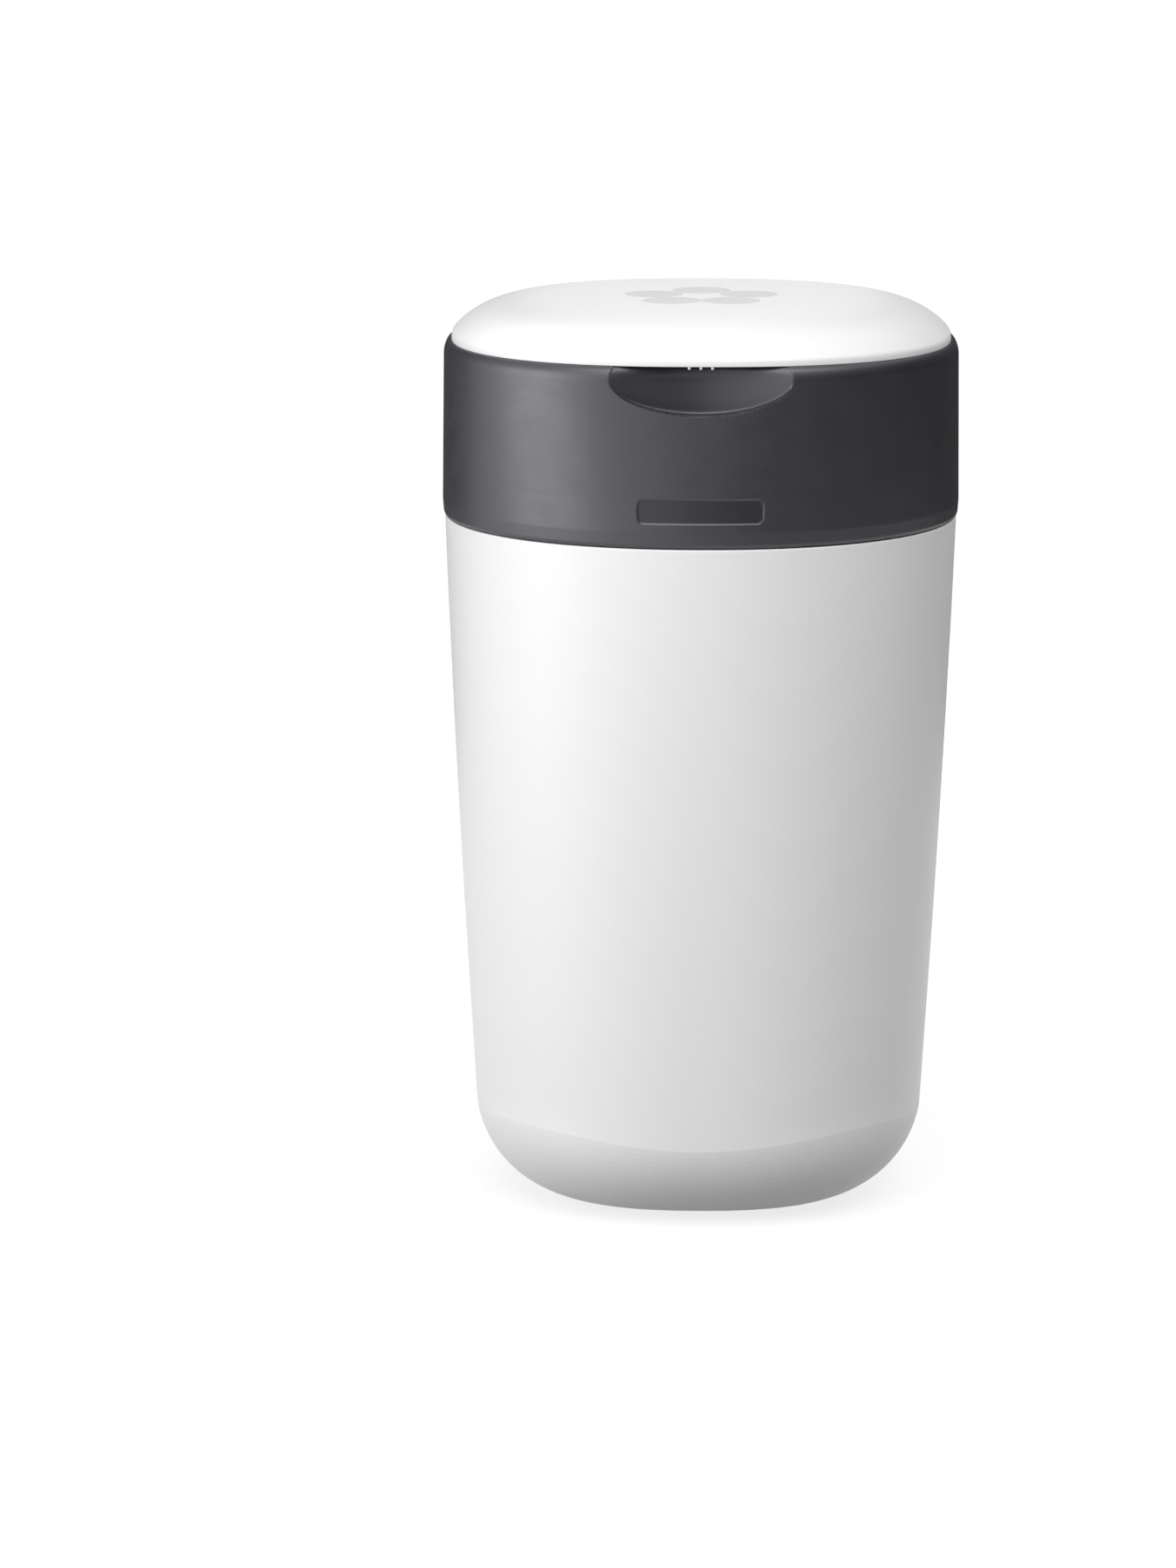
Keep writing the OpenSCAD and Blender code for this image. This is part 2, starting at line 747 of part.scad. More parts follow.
ring_z = carrier_top;
ring_t = 3;
ring_in = carrier_in_r + 0.4;
ring_out = well_r + well_wall + 4;
grip_in = carrier_in_r + 3;
grip_angle = 66;
grip_round = 1.5;
scallops = 4;
scallop_r = 7.5;
scallop_out = grip_in + grip_t + 6;

// upright grip, scalloped on its outer side for the fingers
module grip() {
    foot = ring_z + ring_t;
    top = foot + grip_h;
    out = grip_in + grip_t;
    difference() {
        rotate([0, 0, -grip_angle / 2]) rotate_extrude(angle = grip_angle, $fn = round_fn) polygon([
            [grip_in, foot - 0.5], [out + 1, foot - 0.5], [out, top - grip_round],
            [out - grip_round, top], [grip_in + grip_round, top], [grip_in, top - grip_round]
        ]);
        for (i = [0:scallops - 1]) rotate([0, 0, (i - (scallops - 1) / 2) * grip_angle / scallops])
            translate([scallop_out, 0, foot + 1]) cylinder(r = scallop_r, h = grip_h, $fn = rod_fn);
    }
}

module twist_ring() {
    color(grey) {
        revolve([
            [ring_in, ring_z], [ring_out, ring_z], [ring_out, ring_z + ring_t / 2],
            [ring_out - 2, ring_z + ring_t], [ring_in + 1, ring_z + ring_t],
            [ring_in, ring_z + ring_t - 1]
        ]);
        round_copies(grips, 90) grip();
    }
}

// ---- cassette ----

rib_count = 16;
rib_half = 0.9;
rib_proud = 1;
flange_wall = 2;
ledge_w = 2;           // ledge in the flange that the cover lies on
neck_z = cassette_top - flange_h;
cover_z = cassette_top - 4.5;
cover_t = 1.8;
bayonets = 4;
bayonet_len = 10;
bayonet_gap = 2.4;

// Z-shaped slot in the flange, where one cassette locks on the next
module bayonet() {
    z = cassette_top - flange_h * 0.6;
    in = cassette_r - flange_wall / 2;
    out = cassette_r + overcut;
    block([in, -bayonet_len * 0.7, z], [out, bayonet_len * 0.3, z + bayonet_gap]);
    block([in, -bayonet_len * 0.1, z - bayonet_gap], [out, bayonet_len * 0.7, z]);
}

module cassette_case() {
    in = core_out + pin_clear;
    bore = cassette_r - flange_wall;
    color(smoke) difference() {
        union() {
            revolve([
                [in, cassette_z], [case_r - 2, cassette_z], [case_r - 0.6, cassette_z + 1.4],
                [case_r, neck_z - 1.6], [cassette_r, neck_z], [cassette_r, cassette_top],
                [bore, cassette_top], [bore, cover_z], [bore - ledge_w, cover_z],
                [bore - ledge_w, neck_z + 1.8], [case_r - case_wall, neck_z],
                [case_r - case_wall, cassette_z + case_wall], [in, cassette_z + case_wall]
            ]);
            round_copies(rib_count)
                block([case_r - 1.6, -rib_half, cassette_z + 3],
                      [case_r + rib_proud, rib_half, neck_z - 1]);
        }
        round_copies(bayonets, 20) bayonet();
    }
}

tab_r = 7.5;
tab_out = core_out + 6 + tab_r;
cover_out = cassette_r - flange_wall - part_gap;
cover_ring_w = 9;

module cassette_cover() {
    in = cover_out - cover_ring_w;
    color(grey) {
        revolve([
            [in, cover_z], [cover_out, cover_z], [cover_out, cover_z + cover_t], [in, cover_z + cover_t]
        ]);
        round_copies(tabs) translate([tab_out, 0, cover_z]) {
            cylinder(r = tab_r, h = cover_t, $fn = screw_fn);
            translate([0, -tab_r, 0]) cube([in + cover_ring_w * 0.6 - tab_out, 2 * tab_r, cover_t]);
        }
    }
}

core_bead_h = 4;

module cassette_core() {
    bead = core_top - core_bead_h;
    color(smoke) revolve([
        [core_r, cassette_z], [core_out, cassette_z], [core_out, bead], [core_out + 1, bead + 1.5],
        [core_out + 1, core_top - 1], [core_out, core_top], [core_r, core_top]
    ]);
}

// film packed in pleats round the tube
module film_pack() {
    in = core_out + part_gap;
    out = case_r - case_wall - part_gap;
    low = cassette_z + case_wall;
    high = cover_z - 2;
    color(mint) revolve([
        [in, low], [out, low], [out, high - 2], [out - 6, high], [in + 4, high], [in, high - 3]
    ]);
}

// Film drawn over the tube's lip, down through it and through the fingers to a knot
sleeve_gap = finger_half_r + 1;
sleeve_r = core_r - part_gap;
sleeve_slope = finger_drop / (finger_root_r - finger_tip_r);
sleeve_bend_z = finger_tip_z + (sleeve_r + sleeve_gap - finger_tip_r) * sleeve_slope;
knot_z = finger_tip_z - 22;
knot_r = 4;
tail_r = 13;           // film bunched up below the knot
tail_h = 20;

module film_sleeve() {
    out = core_out + 1.5;
    top = core_top + part_gap;
    low = cover_z - 1.2;
    tip = finger_tip_r - sleeve_gap;
    tail = knot_z - tail_h;
    color(mint) revolve([
        [out, low], [out + film_t, low], [out + film_t, top + film_t],
        [sleeve_r - film_t, top + film_t], [sleeve_r - film_t, sleeve_bend_z + 0.4],
        [tip - film_t, finger_tip_z + 0.6], [tip * 0.45, finger_tip_z - 7.5], [0, knot_z + 9],
        [0, tail], [tail_r - 2, tail + 1], [tail_r, tail + 5], [knot_r * 2, knot_z - 5], [knot_r, knot_z],
        [knot_r + 1, knot_z + 6], [tip * 0.5 + film_t, finger_tip_z - 8], [tip, finger_tip_z],
        [sleeve_r, sleeve_bend_z], [sleeve_r, top], [out, top]
    ]);
}

// ---- lid ----

dome_steps = 8;
dome_end = 86;         // angle at which the dome's flat crown starts
dome_h = lid_rise - lid_edge_h;

// rings of the dome, for a wall's outside at 0 or its inside
function dome(inset) = [
    for (i = [0:dome_steps]) let (a = i * dome_end / dome_steps, s = pow(cos(a), 2 / dome_power))
        [(lid_half - inset) * s, lid_z + lid_edge_h + dome_h * sin(a) * sin(a) - inset,
         lerp(crown_square, rim_square, s)]
];
function reversed(list) = [for (i = [len(list) - 1:-1:0]) list[i]];

nib_pitch = 5.6;
nib_r = 0.7;
nib_h = 2.2;
lid_boss_at = lid_half * 0.6;

// knuckle of the lid between x0 and x1
module lid_knuckle(x0, x1) {
    translate([x0, lid_pin_y, lid_pin_z]) rotate([0, 90, 0])
        cylinder(r = lid_knuckle_r, h = x1 - x0, $fn = rod_fn);
    block([x0, lid_pin_y - 1, lid_pin_z], [x1, lid_pin_y + 3, lid_pin_z + 4]);
}

module lid_shell() {
    lug_in = lid_lug_x - lid_lug_w / 2 - knuckle_gap;
    lug_out = lid_lug_x + lid_lug_w / 2 + knuckle_gap;
    color(white) difference() {
        union() {
            difference() {
                loft_solid(concat(
                    [[lid_half - lid_wall, lid_z + 2], [lid_half - lid_wall, lid_z]],
                    [[lid_half - 0.9, lid_z], [lid_half, lid_z + 1.1]],
                    dome(0)));
                loft_solid(concat([[lid_half - lid_wall, lid_z - 1, rim_square]], dome(lid_wall)));
                both_sides() translate([lug_in, lid_pin_y, lid_pin_z]) rotate([0, 90, 0])
                    cylinder(r = lug_sweep_r, h = lug_out - lug_in, $fn = rod_fn);
            }
            lid_knuckle(-lug_in, lug_in);
            both_sides() lid_knuckle(lug_out, lid_rod_len / 2);
            lid_screw_places() translate([0, 0, panel_t])
                cylinder(r = screw_r + 3, h = lid_boss_h, $fn = screw_fn);
            for (i = [-1:1]) translate([i * nib_pitch, 2 * nib_r - lid_half, lid_z - nib_h / 2])
                cylinder(r = nib_r, h = nib_h, $fn = 24);
        }
        rod_x(lid_rod_r + pin_clear, lid_rod_len + overcut, lid_pin_y, lid_pin_z);
        lid_screw_places() screw_hole(0, panel_t + screw_bite);
    }
}

panel_z = lid_z + 1.7;
panel_half = lid_pin_y - lid_knuckle_r - 1.2;
boss_s = lid_boss_at / lid_half * pow(2, 1 / crown_square);
boss_top = lid_z + lid_edge_h + dome_h * (1 - pow(boss_s, dome_power)) - lid_wall / 2;
lid_boss_h = boss_top - panel_z - panel_t;

module lid_screw_places() {
    for (sx = [-1, 1]) for (sy = [-1, 1])
        translate([sx * lid_boss_at, sy * lid_boss_at, panel_z]) children();
}

module lid_panel() {
    color(white) difference() {
        loft_solid([
            [panel_half - 0.6, panel_z], [panel_half, panel_z + 0.6], [panel_half, panel_z + panel_t]
        ]);
        lid_screw_places() screw_hole(0, panel_t);
    }
}

module lid_screws() {
    color(steel) lid_screw_places() screw(panel_t + screw_bite);
}

seal_round = 1.2;

module lid_seal() {
    in = shelf_half + 1;
    out = in + seal_w;
    bottom = shelf_z + 0.4;
    color(grey) loft_ring([
        [in + 0.4, panel_z], [in, bottom + seal_round], [in + seal_round, bottom],
        [out - seal_round, bottom], [out, bottom + seal_round], [out - 0.4, panel_z]
    ]);
}

module lid_rod() {
    color(steel) rod_x(lid_rod_r, lid_rod_len, lid_pin_y, lid_pin_z);
}

tub();
tilt_rod();
collar();
tray();
tray_screws();
gripper();
gripper_clamp();
gripper_screws();
cutter_housing();
cutter_blade();
pawl_pin();
click_pawl();
carrier();
twist_ring();
cassette_case();
cassette_cover();
cassette_core();
film_pack();
film_sleeve();
lid_shell();
lid_panel();
lid_seal();
lid_rod();
lid_screws();
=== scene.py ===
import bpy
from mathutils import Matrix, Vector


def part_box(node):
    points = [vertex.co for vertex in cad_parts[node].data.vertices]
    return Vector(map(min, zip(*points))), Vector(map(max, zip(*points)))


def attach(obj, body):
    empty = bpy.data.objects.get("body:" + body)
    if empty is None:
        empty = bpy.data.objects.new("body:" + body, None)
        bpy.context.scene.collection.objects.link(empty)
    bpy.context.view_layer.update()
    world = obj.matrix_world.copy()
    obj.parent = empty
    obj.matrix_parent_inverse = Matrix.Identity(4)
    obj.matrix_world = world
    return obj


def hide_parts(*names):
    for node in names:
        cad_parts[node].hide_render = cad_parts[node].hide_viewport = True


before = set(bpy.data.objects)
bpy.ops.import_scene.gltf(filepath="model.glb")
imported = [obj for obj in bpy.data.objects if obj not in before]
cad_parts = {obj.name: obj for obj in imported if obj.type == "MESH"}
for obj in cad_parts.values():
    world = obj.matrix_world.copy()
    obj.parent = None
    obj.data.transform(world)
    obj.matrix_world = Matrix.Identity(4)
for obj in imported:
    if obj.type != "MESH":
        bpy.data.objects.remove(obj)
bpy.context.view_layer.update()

import math

import bmesh
import bpy
from mathutils import Matrix, Vector

mm = 0.001
maths, vectorMaths = "ShaderNodeMath", "ShaderNodeVectorMath"
scene = bpy.context.scene
print("frame loaded:", len(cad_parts), "nodes")


def feed(tree, node, inputs):
    # inputs by number or name: values, sockets or other nodes
    for key, value in (inputs if isinstance(inputs, dict) else dict(enumerate(inputs))).items():
        if isinstance(value, bpy.types.Node):
            value = next(socket for socket in value.outputs if socket.enabled)
        if isinstance(value, bpy.types.NodeSocket):
            tree.links.new(value, node.inputs[key])
        else:
            node.inputs[key].default_value = value


def addNode(tree, kind, inputs=(), settings=None):
    # one node with its inputs and settings; a word alone is its operation
    node = tree.nodes.new(kind)
    for key, value in ({"operation": settings} if isinstance(settings, str) else settings or {}).items():
        setattr(node, key, value)
    feed(tree, node, inputs)
    return node


def clearTree(owner):
    owner.use_nodes = True
    owner.node_tree.nodes.clear()
    return owner.node_tree


def newObject(name, data):
    made = bpy.data.objects.new(name, data)
    scene.collection.objects.link(made)
    return made


def linear(code):
    # sRGB hex to the linear colour that a shader takes
    parts = [int(code[i:i + 2], 16) / 255 for i in (1, 3, 5)]
    return [c / 12.92 if c <= 0.04045 else ((c + 0.055) / 1.055) ** 2.4 for c in parts] + [1]


def mix(a, b, t):
    return a + (b - a) * t


def clamp(t):
    return min(max(t, 0), 1)


# Camera: the photograph's own view, from in front and a little above.
cameraSizes = dict(place=(0, -2.958, 0.7957), down=0.1966, left=0.0192, lens=135.88)


def makeCamera(sizes):
    data = bpy.data.cameras.new("frontCamera")
    data.lens = sizes["lens"]
    data.clip_end = 60
    camera = newObject("frontCamera", data)
    camera.location = sizes["place"]
    camera.rotation_euler = (math.pi / 2 - sizes["down"], 0, sizes["left"])
    scene.camera = camera


makeCamera(cameraSizes)

# Studio: a soft box at the left, a wide one above the front, a weak one behind, a white room, and
# two dark cards beyond the edges, which a white object on white needs to keep its outline.
studioSizes = dict(
    # name, degrees to the left of the front, distance, height of its middle, width, height, watts
    softBoxes=[("keyBox", 64, 1.35, 0.44, 0.95, 0.84, 10),
               ("overheadBox", -4, 1.1, 1.62, 2.0, 1.25, 26),
               ("rearBox", -155, 1.5, 0.5, 1.3, 0.8, 13)],
    aim=(0, 0, 0.3),
    room=0.4,
    floorColour="#878787",
    floorFades=(0.5, 3.5),           # distances between which the paper turns white
    floorLift=(0.79, 1.0),
    cardDistance=1.1,
    cardHeight=1.3,
    cards=[(-2, 172), (-172, -114)],     # from and to azimuth, to the right of the front
)


def lookOnly(tree):
    # one for rays that look, in a mirror or through plastic too, and nought for rays that light
    path = addNode(tree, "ShaderNodeLightPath").outputs
    seen = path["Is Camera Ray"]
    for ray in ("Glossy", "Transmission"):
        seen = addNode(tree, maths, [seen, path["Is %s Ray" % ray]], "MAXIMUM")
    return seen


def makeStudio(sizes):
    aim = Vector(sizes["aim"])
    for name, azimuth, distance, height, wide, tall, watts in sizes["softBoxes"]:
        a = math.radians(azimuth)
        lamp = bpy.data.lights.new(name, "AREA")
        lamp.shape = "RECTANGLE"
        lamp.size, lamp.size_y = wide, tall
        lamp.energy = watts
        holder = newObject(name, lamp)
        holder.location = (-math.sin(a) * distance, -math.cos(a) * distance, height)
        holder.rotation_euler = (holder.location - aim).to_track_quat("Z", "Y").to_euler()
        holder.visible_camera = False
        # the rear one would glare on the lid, seen from the front
        holder.visible_glossy = name != "rearBox"

    world = bpy.data.worlds.new("whiteRoom")
    tree = clearTree(world)
    strength = addNode(tree, "ShaderNodeMapRange", {0: lookOnly(tree), 3: sizes["room"], 4: 1})
    sky = addNode(tree, "ShaderNodeBackground", [(1, 1, 1, 1), strength])
    addNode(tree, "ShaderNodeOutputWorld", [sky])
    scene.world = world

    # pale paper: it takes the shadow, and turns to the room's white further out
    paper = bpy.data.materials.new("studioPaper")
    tree = clearTree(paper)
    place = addNode(tree, "ShaderNodeTexCoord").outputs["Object"]
    far = addNode(tree, vectorMaths, [place], "LENGTH").outputs["Value"]
    lift = addNode(tree, "ShaderNodeMapRange", [far, *sizes["floorFades"], *sizes["floorLift"]])
    lift = addNode(tree, maths, [lookOnly(tree), lift], "MULTIPLY")
    matt = addNode(tree, "ShaderNodeBsdfDiffuse", [linear(sizes["floorColour"])])
    glow = addNode(tree, "ShaderNodeEmission", [(1, 1, 1, 1), lift])
    both = addNode(tree, "ShaderNodeAddShader", [matt, glow])
    addNode(tree, "ShaderNodeOutputMaterial", [both])

    bpy.ops.mesh.primitive_plane_add(size=60)
    floor = bpy.context.object
    floor.name = "studioFloor"
    floor.data.materials.append(paper)

    # the cards are only met by reflections
    felt = bpy.data.materials.new("cardFelt")
    felt.use_nodes = True
    felt.node_tree.nodes["Principled BSDF"].inputs["Base Color"].default_value = linear("#181818")
    for start, end in sizes["cards"]:
        corners = []
        for i in range(17):
            a = math.radians(mix(start, end, i / 16))
            corners += [(math.sin(a) * sizes["cardDistance"], -math.cos(a) * sizes["cardDistance"], z)
                        for z in (0.001, sizes["cardHeight"])]
        mesh = bpy.data.meshes.new("darkCard")
        mesh.from_pydata(corners, [], [(2 * i, 2 * i + 2, 2 * i + 3, 2 * i + 1) for i in range(16)])
        mesh.materials.append(felt)
        card = newObject("darkCard", mesh)
        for ray in ("camera", "diffuse", "transmission", "volume_scatter", "shadow"):
            setattr(card, "visible_" + ray, False)
    scene.view_settings.view_transform = "Standard"


makeStudio(studioSizes)
print("studio ready")


def newMaterial(name):
    # a material with its tree, its shader and the place that its textures are read at
    material = bpy.data.materials.new(name)
    material.use_nodes = True
    tree = material.node_tree
    place = addNode(tree, "ShaderNodeTexCoord").outputs["Object"]
    return material, tree, tree.nodes["Principled BSDF"], place


def plasticMaterial(name, colour, roughness, grain, peel, extra=None, streak=0):
    # moulded plastic: a base colour, a fine tool grain, a long orange peel and uneven gloss
    # grain and peel are (size, depth) in mm
    material, tree, shader, place = newMaterial(name)
    fine, long = (addNode(tree, "ShaderNodeTexNoise",
                          {"Vector": place, "Scale": 1 / (size * mm), "Detail": detail})
                  for size, detail in ((grain[0], 2), (peel[0], 1)))
    # the plastic flowed level round the mould, so its drag is 40 times as long as it is high
    squeeze = addNode(tree, "ShaderNodeMapping", {"Vector": place, "Scale": (1, 1, 40)})
    drag = addNode(tree, "ShaderNodeTexNoise", {"Vector": squeeze, "Scale": 18, "Detail": 3})
    gloss = addNode(tree, maths, [drag, streak, -streak / 2], "MULTIPLY_ADD")
    uneven = addNode(tree, "ShaderNodeMapRange", [long, 0.3, 0.7, roughness - 0.02, roughness + 0.02])
    rough = addNode(tree, maths, [uneven, gloss], "ADD")
    wave = addNode(tree, "ShaderNodeBump", {"Distance": peel[1] * mm, "Height": long})
    skin = addNode(tree, "ShaderNodeBump", {"Distance": grain[1] * mm, "Height": fine, "Normal": wave})
    feed(tree, shader, {"Base Color": linear(colour), "IOR": 1.49, **(extra or {}),
                        "Roughness": rough, "Normal": skin})
    return material


# Polypropylene from a polished tool: bright, even, with a faint orange peel.
white = "#e9e9e9"
glossWhite = plasticMaterial("glossWhitePolypropylene", white, 0.42, (0.9, 0.002), (9, 0.03))
# The same polypropylene, a little greyer, where the lid is closed from below.
innerWhite = plasticMaterial("innerWhitePolypropylene", "#d2d2d2", 0.5, (0.9, 0.004), (9, 0.03))
# Polypropylene from a spark-eroded tool: satin, with the drag of the flow in its gloss.
# The real grain is about 0.1 mm across; it is drawn ten times as coarse, so that it shows.
satinCharcoal = plasticMaterial("satinCharcoalPolypropylene", "#27272c", 0.43, (1.0, 0.02), (14, 0.02),
                                {"Specular IOR Level": 0.95, "Specular Tint": (0.94, 0.93, 1, 1)}, 0.1)
# The badge recess is polished in the same tool, so it mirrors more and scatters less.
polishedCharcoal = plasticMaterial("polishedCharcoalPolypropylene", "#2c2c30", 0.36, (0.6, 0.001), (14, 0.02))
# The same family in mid grey, for what the hand turns.
satinGrey = plasticMaterial("satinGreyPolypropylene", "#9a9ca0", 0.4, (0.5, 0.005), (10, 0.02), None, 0.04)
# Smoked polystyrene: dark, clear and very glossy.
smokedClear = plasticMaterial("smokedPolystyrene", "#2c2728", 0.12, (0.8, 0.001), (12, 0.04),
                              {"IOR": 1.59, "Transmission Weight": 0.25})
# The same polystyrene with more grey in it, moulded thin for the tabs over the film.
smokedGrey = plasticMaterial("smokedGreyPolystyrene", "#6a6367", 0.22, (0.8, 0.002), (10, 0.03),
                             {"IOR": 1.59, "Transmission Weight": 0.15})
# Thermoplastic elastomer: matt and soft.
softGrey = plasticMaterial("softGreyElastomer", "#6f7276", 0.68, (0.35, 0.012), (6, 0.03), {"IOR": 1.5})


def steelMaterial(name, colour, roughness, alongX):
    # steel with fine scratches, which run along the wire of a drawn rod
    material, tree, shader, place = newMaterial(name)
    stretch = addNode(tree, "ShaderNodeMapping",
                      {"Vector": place, "Scale": (60, 4000, 4000) if alongX else (1500, 1500, 1500)})
    lines = addNode(tree, "ShaderNodeTexNoise", {"Vector": stretch, "Scale": 1, "Detail": 2})
    rough = addNode(tree, "ShaderNodeMapRange", {0: lines, 3: roughness - 0.08, 4: roughness + 0.08})
    bump = addNode(tree, "ShaderNodeBump", {"Distance": 0.004 * mm, "Height": lines})
    feed(tree, shader, {"Base Color": linear(colour), "Metallic": 1, "Roughness": rough, "Normal": bump})
    return material


drawnSteel = steelMaterial("drawnSteel", "#c9c9c7", 0.26, True)
zincScrew = steelMaterial("zincPlatedSteel", "#bdbdb8", 0.32, False)


def filmMaterial():
    # polyethylene film, a few hundredths of a millimetre thick: milky, with sharp creases
    material, tree, shader, place = newMaterial("mintPolyethyleneFilm")
    crease = addNode(tree, "ShaderNodeTexVoronoi", {"Vector": place, "Scale": 1 / (7 * mm), "Randomness": 1},
                     {"feature": "F2"})
    ripple = addNode(tree, "ShaderNodeTexNoise",
                     {"Vector": place, "Scale": 1 / (3 * mm), "Detail": 4, "Distortion": 1.2})
    # the film's pale mint turns deeper teal in the hollows of the ripple bump: painted shade in the crumples,
    # over the film's own uneven tint
    mintWithPaintedShade = addNode(tree, "ShaderNodeMix", {0: ripple, 6: linear("#b4dbd9"), 7: linear("#f1fbfa")},
                   {"data_type": "RGBA"}).outputs[2]
    rough = addNode(tree, "ShaderNodeMapRange", {0: ripple, 3: 0.26, 4: 0.46})
    fold = addNode(tree, "ShaderNodeBump", {"Distance": 0.5 * mm, "Height": crease})
    small = addNode(tree, "ShaderNodeBump", {"Distance": 0.35 * mm, "Height": ripple, "Normal": fold})
    feed(tree, shader, {"Base Color": mintWithPaintedShade, "IOR": 1.5, "Transmission Weight": 0.12, "Roughness": rough,
                        "Normal": small})
    return material


mintFilm = filmMaterial()


def printedWhite(motif):
    # the lid's white with one generic printed flower, in pale grey ink, flat on the plastic
    material = glossWhite.copy()
    material.name = "printedWhitePolypropylene"
    tree = material.node_tree
    place = addNode(tree, "ShaderNodeTexCoord").outputs["Object"]
    x, y, z = addNode(tree, "ShaderNodeSeparateXYZ", [place]).outputs
    turn = addNode(tree, maths, [x, y], {"operation": "ARCTAN2"})
    step = 2 * math.pi / motif["petals"]
    wrap = addNode(tree, maths, [turn, step / 2, -step / 2], "WRAP")
    level = addNode(tree, "ShaderNodeCombineXYZ", [x, y, 0.0])
    far = addNode(tree, vectorMaths, [level], "LENGTH").outputs["Value"]
    across, along = (addNode(tree, maths, [wrap], kind) for kind in ("SINE", "COSINE"))
    across = addNode(tree, maths, [across, far], "MULTIPLY")
    along = addNode(tree, maths, [along, far, -motif["petalAt"]], "MULTIPLY_ADD")
    petal = addNode(tree, "ShaderNodeCombineXYZ", [across, along])
    reach = addNode(tree, vectorMaths, [petal], "LENGTH").outputs["Value"]
    petalR, eyeR, edge = motif["petalR"], motif["eyeR"], motif["edge"]
    inPetal = addNode(tree, "ShaderNodeMapRange", [reach, petalR + edge, petalR])
    offEye = addNode(tree, "ShaderNodeMapRange", [far, eyeR, eyeR + edge])
    ink = addNode(tree, maths, [inPetal, offEye], "MULTIPLY")
    up = addNode(tree, maths, [z, motif["above"]], "GREATER_THAN")
    ink = addNode(tree, maths, [ink, up], "MULTIPLY")
    colour = addNode(tree, "ShaderNodeMix", {0: ink, 6: linear(white), 7: linear(motif["ink"])},
                     {"data_type": "RGBA"}).outputs[2]
    feed(tree, tree.nodes["Principled BSDF"], {"Base Color": colour})
    return material


motifSizes = dict(petals=5, petalAt=25 * mm, petalR=14.6 * mm, eyeR=9 * mm, edge=0.3 * mm,
                  above=0.4455, ink="#d0d0d2")
lidWhite = printedWhite(motifSizes)
print("materials ready")


def newTree(name, inputs):
    # a Geometry Nodes tree with named inputs, one geometry in and one out
    tree = bpy.data.node_groups.new(name, "GeometryNodeTree")
    tree.interface.new_socket("Geometry", in_out="INPUT", socket_type="NodeSocketGeometry")
    for label, kind in inputs.items():
        tree.interface.new_socket(label, in_out="INPUT", socket_type="NodeSocket" + kind)
    tree.interface.new_socket("Geometry", in_out="OUTPUT", socket_type="NodeSocketGeometry")
    return tree, addNode(tree, "NodeGroupInput").outputs


def closeTree(tree, geometry, material):
    real = addNode(tree, "GeometryNodeRealizeInstances", [geometry])
    dressed = addNode(tree, "GeometryNodeSetMaterial", {"Geometry": real, "Material": material})
    addNode(tree, "NodeGroupOutput", [dressed])
    return tree


def settle(holder, layers=False):
    # the plain mesh that an object's modifiers make, without the object
    graph = bpy.context.evaluated_depsgraph_get()
    made = bpy.data.meshes.new_from_object(holder.evaluated_get(graph), preserve_all_data_layers=layers,
                                           depsgraph=graph)
    bpy.data.objects.remove(holder)
    return made


def grow(tree, mesh, inputs):
    # runs a tree on a mesh and keeps the plain mesh that it makes
    seed = newObject("seed", mesh)
    modifier = seed.modifiers.new("grow", "NODES")
    modifier.node_group = tree
    for item in tree.interface.items_tree:
        if item.in_out == "INPUT" and item.name in inputs:
            modifier[item.identifier] = inputs[item.name]
    return settle(seed, True)


def makeRings(tree, given):
    # a grid with a column for each step round and a row for each point of the profile
    rows = addNode(tree, "GeometryNodeAttributeDomainSize", [given["Geometry"]], {"component": "MESH"})
    wide = addNode(tree, maths, [given["Columns"], 1], "ADD")
    grid = addNode(tree, "GeometryNodeMeshGrid", {"Vertices X": wide, "Vertices Y": rows})
    index = column = addNode(tree, "GeometryNodeInputIndex")
    for operation, by in (("ADD", 0.5), ("DIVIDE", rows), ("FLOOR", 0)):
        column = addNode(tree, maths, [column, by], {"operation": operation})
    before = addNode(tree, maths, [column, rows], "MULTIPLY")
    return grid, column, addNode(tree, maths, [index, before], "SUBTRACT")


def closeRings(tree, given, grid, spot):
    # moves the grid to its place, closes it round and makes it smooth
    moved = addNode(tree, "GeometryNodeSetPosition", {"Geometry": grid, "Position": spot})
    closed = addNode(tree, "GeometryNodeMergeByDistance", {"Geometry": moved, "Distance": 0.5e-6})
    smooth = addNode(tree, "GeometryNodeSetShadeSmooth", {"Geometry": closed})
    return closeTree(tree, smooth, given["Material"])


